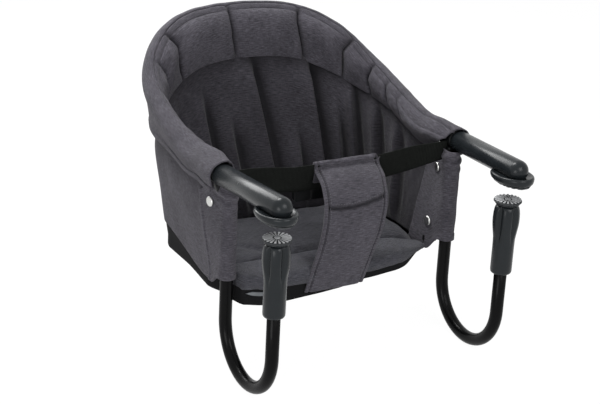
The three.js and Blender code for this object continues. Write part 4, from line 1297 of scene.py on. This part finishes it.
def hook_tube(side):
    bm = bmesh.new()
    start = Matrix.Translation((side * HOOK_HALF_SPACING, HOOK_DEPTH, LEG_TOP))
    edges = edges_of(bmesh.ops.create_circle(bm, segments=32, radius=TUBE_RADIUS, matrix=start)["verts"])
    for _ in range(4):
        fresh, edges = drawn_out(bm, edges)
        bmesh.ops.translate(bm, vec=(0, 0, (HOOK_BEND_LEVEL - LEG_TOP) / 4), verts=fresh)
    bend = Vector((0, HOOK_DEPTH / 2, HOOK_BEND_LEVEL))
    made = bmesh.ops.spin(bm, geom=edges, cent=bend, axis=(1, 0, 0), angle=-math.pi, steps=40)["geom_last"]
    fresh, _ = drawn_out(bm, [item for item in made if isinstance(item, bmesh.types.BMEdge)])
    bmesh.ops.translate(bm, vec=(0, 0, CLAMP_TUBE_END - HOOK_BEND_LEVEL), verts=fresh)
    bmesh.ops.remove_doubles(bm, verts=bm.verts, dist=0.001)
    bmesh.ops.holes_fill(bm, edges=[edge for edge in bm.edges if edge.is_boundary])
    bmesh.ops.recalc_face_normals(bm, faces=bm.faces)
    return bm


def hinge_collar(side):
    """Collar that turns round the arm under the cuff, with the socket that holds the leg."""
    low, high, bore, rim = COLLAR_FROM, COLLAR_TO, TUBE_RADIUS + 0.6, COLLAR_RADIUS
    profile = [
        (bore, low), (rim - 0.8, low), (rim, low + 0.8), (rim, high - 0.8), (rim - 0.8, high), (bore, high),
        (bore, low),
    ]
    bm = shaped(lathe(profile, 40), along_arm(side))
    socket = Matrix.Translation((side * HOOK_HALF_SPACING, HOOK_DEPTH, -24.5))
    bmesh.ops.create_cone(bm, cap_ends=True, segments=32, radius1=9.6, radius2=9.9, depth=41, matrix=socket)
    middle = (arm_point(side, 148).x + side * HOOK_HALF_SPACING) / 2
    neck = Matrix.Translation((middle, 146, -3)) @ Matrix.Diagonal((20, 13, 16, 1))
    cube = bmesh.ops.create_cube(bm, size=1, matrix=neck)["verts"]
    rounded(bm, edges_of(cube), 2, 3)
    return bm


def clamp_pad(side):
    """A rubber disc with raised ribs that widen outwards."""
    face, low = PAD_TOP - 1.4, PAD_TOP - 4
    profile = [
        (0, low), (PAD_RADIUS - 0.8, low), (PAD_RADIUS, low + 0.7), (PAD_RADIUS, face - 0.6),
        (PAD_RADIUS - 0.7, face), (0, face),
    ]
    bm = lathe(profile, 64)
    for i in range(PAD_RIBS):
        place = Matrix.Translation((RIB_MIDDLE, 0, face + 0.4)) @ Matrix.Diagonal((12.6, 2.0, 2.0, 1))
        rib = bmesh.ops.create_cube(bm, size=1, matrix=place)["verts"]
        for vert in rib:
            vert.co.y *= vert.co.x / RIB_MIDDLE
        bmesh.ops.transform(bm, matrix=Matrix.Rotation(2 * math.pi * i / PAD_RIBS, 4, "Z"), verts=rib)
        rounded(bm, edges_of(rib), 0.3, 1)
    boss = Matrix.Translation((0, 0, face + 0.4))
    bmesh.ops.create_cone(bm, cap_ends=True, segments=20, radius1=4.6, radius2=4.0, depth=1.9, matrix=boss)
    return shaped(bm, at_clamp(side))


def pad_plate(side):
    top, low, foot = PLATE_TOP, PLATE_TOP - 3, GRIP_TOP - 6
    profile = [
        (0, top), (16.2, top), (17, top - 0.8), (17, top - 1.8), (16, low), (6, low), (6, foot + 0.5),
        (5.5, foot), (0, foot),
    ]
    return shaped(lathe(profile, 48), at_clamp(side))


def twist_grip(side):
    """A knob with broad lobes parted by grooves that run out to a point over a plain round skirt.

    Each of its levels has a depth under the top, a radius, and how far the lobes stand out there.
    """
    count = GRIP_RIDGES * 24
    pitch = 2 * math.pi / GRIP_RIDGES

    def lobes(share):
        def wave(angle):
            away = (angle - GRIP_TURN + pitch / 2) % pitch
            groove = hump(min(away, pitch - away), 0.07 + 0.13 * share)
            return share * (1.9 - 5.0 * groove)
        return wave

    collar = ((6.6, GRIP_TOP - 7), (6.6, GRIP_TOP), (12.4, GRIP_TOP))
    skirt = (
        (10.2, GRIP_BOTTOM), (GRIP_BORE, GRIP_BOTTOM + 1), (GRIP_BORE, GRIP_BORE_TOP), (5.4, GRIP_BORE_TOP),
    )
    levels = (
        (0.3, 13.8, 0.0), (1.2, 14.9, 0.2), (3, 15.4, 0.6), (7, 16.0, 0.9), (12, 16.5, 1.0), (18, 16.8, 1.0),
        (24, 16.7, 1.0), (30, 16.3, 0.95), (36, 15.7, 0.8), (42, 15.3, 0.5), (48, 15.0, 0.22),
        (53, 15.0, 0.06), (58, 15.0, 0.0), (96, 15.0, 0.0), (98.4, 14.7, 0.0), (99.8, 14.0, 0.0),
        (100.6, 12.8, 0.0),
    )
    rings = [round_ring(radius, level, count) for radius, level in collar]
    for depth, radius, share in levels:
        rings.append(round_ring(radius, GRIP_TOP - depth, count, lobes(share)))
    rings += [round_ring(radius, level, count) for radius, level in skirt]
    return shaped(ring_stack(rings), at_clamp(side))


HARD_PIECES = (
    ("arm", arm_sleeve, SLATE_PLASTIC, "frame", "slate_plastic", "arm_sleeve"),
    ("shoe", foot_shoe, SLATE_PLASTIC, "frame", "slate_plastic", "foot_shoe"),
    ("tube", hook_tube, BLACK_STEEL, "hook", "black_steel", "hook_tube"),
    ("collar", hinge_collar, BLACK_PLASTIC, "hook", "black_plastic", "hinge_collar"),
    ("pad", clamp_pad, PAD_RUBBER, "clamp", "rubber", "clamp_pad"),
    ("plate", pad_plate, SLATE_PLASTIC, "clamp", "slate_plastic", "pad_plate"),
    ("grip_knob", twist_grip, SLATE_PLASTIC, "grip", "slate_plastic", "twist_grip"),
)


def hard_pieces(name, side):
    for piece, shape, material, carrier, slot, node in HARD_PIECES:
        body = carrier if carrier == "frame" else f"{name}_{carrier}"
        finished(f"{name}_{piece}", shape(side), material, body, slot, (f"{name}_{node}",))


# Press studs and buckle
STUD_CAP = (
    (0, 3.6), (2.6, 3.5), (3.6, 3.2), (4.1, 3.3), (5.9, 2.9), (7.0, 2.0), (7.2, 1.0), (7.0, 0), (0, 0),
)


def press_stud(name, side, place_name, y, level, ends):
    """A press stud: a bright cap on the flap's outer face, its inner face or both."""
    line = flap_line(side, level)
    bm = bmesh.new()
    for start in ends:
        shares = [mix(start, 0.5, i / 60) for i in range(50)]
        share = min(shares, key=lambda s: abs(line.at(s).y - y))
        face = outward(line, share) * side
        cap = shaped(lathe(STUD_CAP, 32), stood_on(line.at(share) + face * 0.6, face))
        mesh = bpy.data.meshes.new("cap")
        cap.to_mesh(mesh)
        cap.free()
        bm.from_mesh(mesh)
        bpy.data.meshes.remove(mesh)
    nodes = (f"{name}_{place_name}_stud",)
    piece = finished(f"{name}_{place_name}_press_stud", bm, ZINC, None, "steel", nodes)
    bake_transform(piece)


def buckle_half(name, node):
    low, high = (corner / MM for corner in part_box(node))
    bm = bmesh.new()
    place = Matrix.Translation((low + high) / 2) @ Matrix.Diagonal((*(high - low), 1))
    bmesh.ops.create_cube(bm, size=1, matrix=place)
    uprights = [edge for edge in bm.edges if abs(edge.verts[0].co.y - edge.verts[1].co.y) > 1]
    rounded(bm, uprights, 4, 5)
    faces = [face for face in bm.faces if abs(face.normal.y) > 0.9]
    bmesh.ops.inset_individual(bm, faces=faces, thickness=2.4, depth=0.0)
    for face in faces:
        bmesh.ops.translate(bm, vec=-0.9 * face.normal, verts=face.verts)
    rounded(bm, [edge for edge in bm.edges if edge.calc_face_angle(0) > 0.6], 0.5, 2)
    finished(name, bm, BLACK_PLASTIC, "frame", "black_plastic", (node,))


def kept_nodes():
    """Finishes of the CAD pieces that show as they are."""
    finishes = {"hoop_tube": BLACK_STEEL, "seat_board": BOARD}
    for name, _ in SIDES:
        finishes[f"{name}_foot_pad"] = FOOT_RUBBER
        finishes[f"{name}_thread_insert"] = BLACK_PLASTIC
        finishes[f"{name}_clamp_spindle"] = ZINC
        finishes[f"{name}_foot_screw"] = ZINC
    for node, material in finishes.items():
        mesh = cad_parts[node].data
        mesh.materials.clear()
        mesh.materials.append(material)


# Seams that show their thread
def strap_spot(u, across):
    place = strap_place(u, across, 0.3)
    return place, strap_place(u, across, 1.3) - place


def rim_seams():
    hem, top = [], []
    angle = TOP_SEAM - 0.25
    for i in range(241):
        share = mix(RIM_FROM - 0.03, 1 - RIM_FROM + 0.03, i / 240)
        cut = section(share)
        depth = band_depth(share) - 4
        hem.append((cut.skin(depth, band_out(share, depth) + 1.9), cut.out))
        spot = cut.roll(angle, roll_radius(share, angle) + 0.1)
        top.append((spot, (spot - cut.middle).normalized()))
    stitches("rim_stitches", [hem, top])


def strap_seams():
    lines = []
    for across in (-0.92, -0.82, 0.82, 0.92):
        lines.append([strap_spot(mix(0.15, 0.98, i / 60), across) for i in range(61)])
    cross = []
    for i in range(21):
        across = mix(-0.8, 0.8, i / 20)
        cross.append(strap_spot(STRAP_CROSS - (cross_rise(across) + 5) / STRAP.length, across))
    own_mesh(stitches("strap_stitches", [*lines, cross]))


# Studio and camera
def seen_directly(finish):
    """1 for the camera and for what gloss and glass show, 0 for the light that falls on the chair."""
    rays = ("Is Camera Ray", "Is Glossy Ray", "Is Transmission Ray")
    camera, glossy, clear = (finish.node("ShaderNodeLightPath", output=ray) for ray in rays)
    return camera + glossy + clear


def stage_set():
    """White studio: a floor under the hooks, soft light from above and a weak fill."""
    floor_finish = Finish("studio_floor")
    paint = floor_finish.node("ShaderNodeBsdfDiffuse", inputs={"Color": (0.85, 0.85, 0.85, 1)})
    glow = floor_finish.node("ShaderNodeEmission", inputs={"Color": (1, 1, 1, 1), "Strength": 1.08})
    seen = seen_directly(floor_finish) * 0.9
    lit = floor_finish.node("ShaderNodeMixShader", inputs={0: seen, 1: paint, 2: glow})
    floor_finish.node("ShaderNodeOutputMaterial", inputs={"Surface": lit})
    bm = bmesh.new()
    ground = Matrix.Translation((0, 0, FLOOR_LEVEL))
    bmesh.ops.create_grid(bm, x_segments=1, y_segments=1, size=6000, matrix=ground)
    floor = finished("floor", bm, floor_finish.material, None)

    world = bpy.data.worlds.new("studio")
    bpy.context.scene.world = world
    sky = Finish("studio_sky", world)
    dim = sky.node("ShaderNodeBackground", inputs={"Color": (0.13, 0.13, 0.135, 1)})
    white = sky.node("ShaderNodeBackground", inputs={"Color": (1, 1, 1, 1)})
    both = sky.node("ShaderNodeMixShader", inputs={0: seen_directly(sky), 1: dim, 2: white})
    sky.node("ShaderNodeOutputWorld", inputs={"Surface": both})

    # Name, place, what it points at, size and power of each lamp
    lamps = (
        ("overhead", (-200, 800, 1300), (0, 250, 0), 600, 18),
        ("rear_top", (-250, 1700, 850), (0, 150, 0), 900, 15),
        ("left_box", (-1350, -850, 150), (0, 200, -60), 700, 7),
        ("front_fill", (100, -1400, 950), (0, 150, -60), 900, 14),
    )
    for name, place, aim, size, power in lamps:
        lamp = bpy.data.lights.new(name, "AREA")
        lamp.size = size * MM
        lamp.energy = power
        piece = placed(name, lamp)
        piece.location = Vector(place) * MM
        piece.rotation_euler = (Vector(aim) - Vector(place)).to_track_quat("-Z", "Y").to_euler()


def photo_camera():
    """Camera at the photograph's view, found by fitting the chair's outlines."""
    yaw, pitch, roll = -0.5216, 0.3696, 0.0494
    shift_x, shift_y, distance, lift = -129.139, -17.972, 1943.089, 17.5
    back = Vector((math.sin(yaw) * math.cos(pitch), -math.cos(yaw) * math.cos(pitch), math.sin(pitch)))
    right = Vector((math.cos(yaw), math.sin(yaw), 0))
    up = back.cross(right)
    tilted_right = right * math.cos(roll) + up * math.sin(roll)
    tilted_up = up * math.cos(roll) - right * math.sin(roll)
    place = back * distance + tilted_right * shift_x + tilted_up * shift_y + Vector((0, 0, lift))
    camera = bpy.data.cameras.new("photo_camera")
    camera.sensor_width = 36
    camera.lens = 90
    camera.clip_end = 100
    piece = placed("photo_camera", camera)
    turn = Matrix((tilted_right, tilted_up, back)).transposed().to_4x4()
    piece.matrix_world = Matrix.Translation(place * MM) @ turn
    bpy.context.scene.camera = piece


photo_camera()
stage_set()
kept_nodes()
rim_cover()
lining()
outer_cover()
lower_band()
seat_cushion()
under_cover()
waist_belt()
seat_nose()
nose_binding()
edge_strip()
crotch_strap()
for name, side in SIDES:
    leg_flap(name, side)
    hard_pieces(name, side)
    press_stud(name, side, "upper", 160, -30, (0, 1))
    press_stud(name, side, "lower", 164, -114, (1,))
buckle_half("buckle_socket_half", "buckle_socket")
buckle_half("buckle_tongue_half", "buckle_tongue")
rim_seams()
strap_seams()

bpy.context.scene.view_settings.view_transform = "Standard"
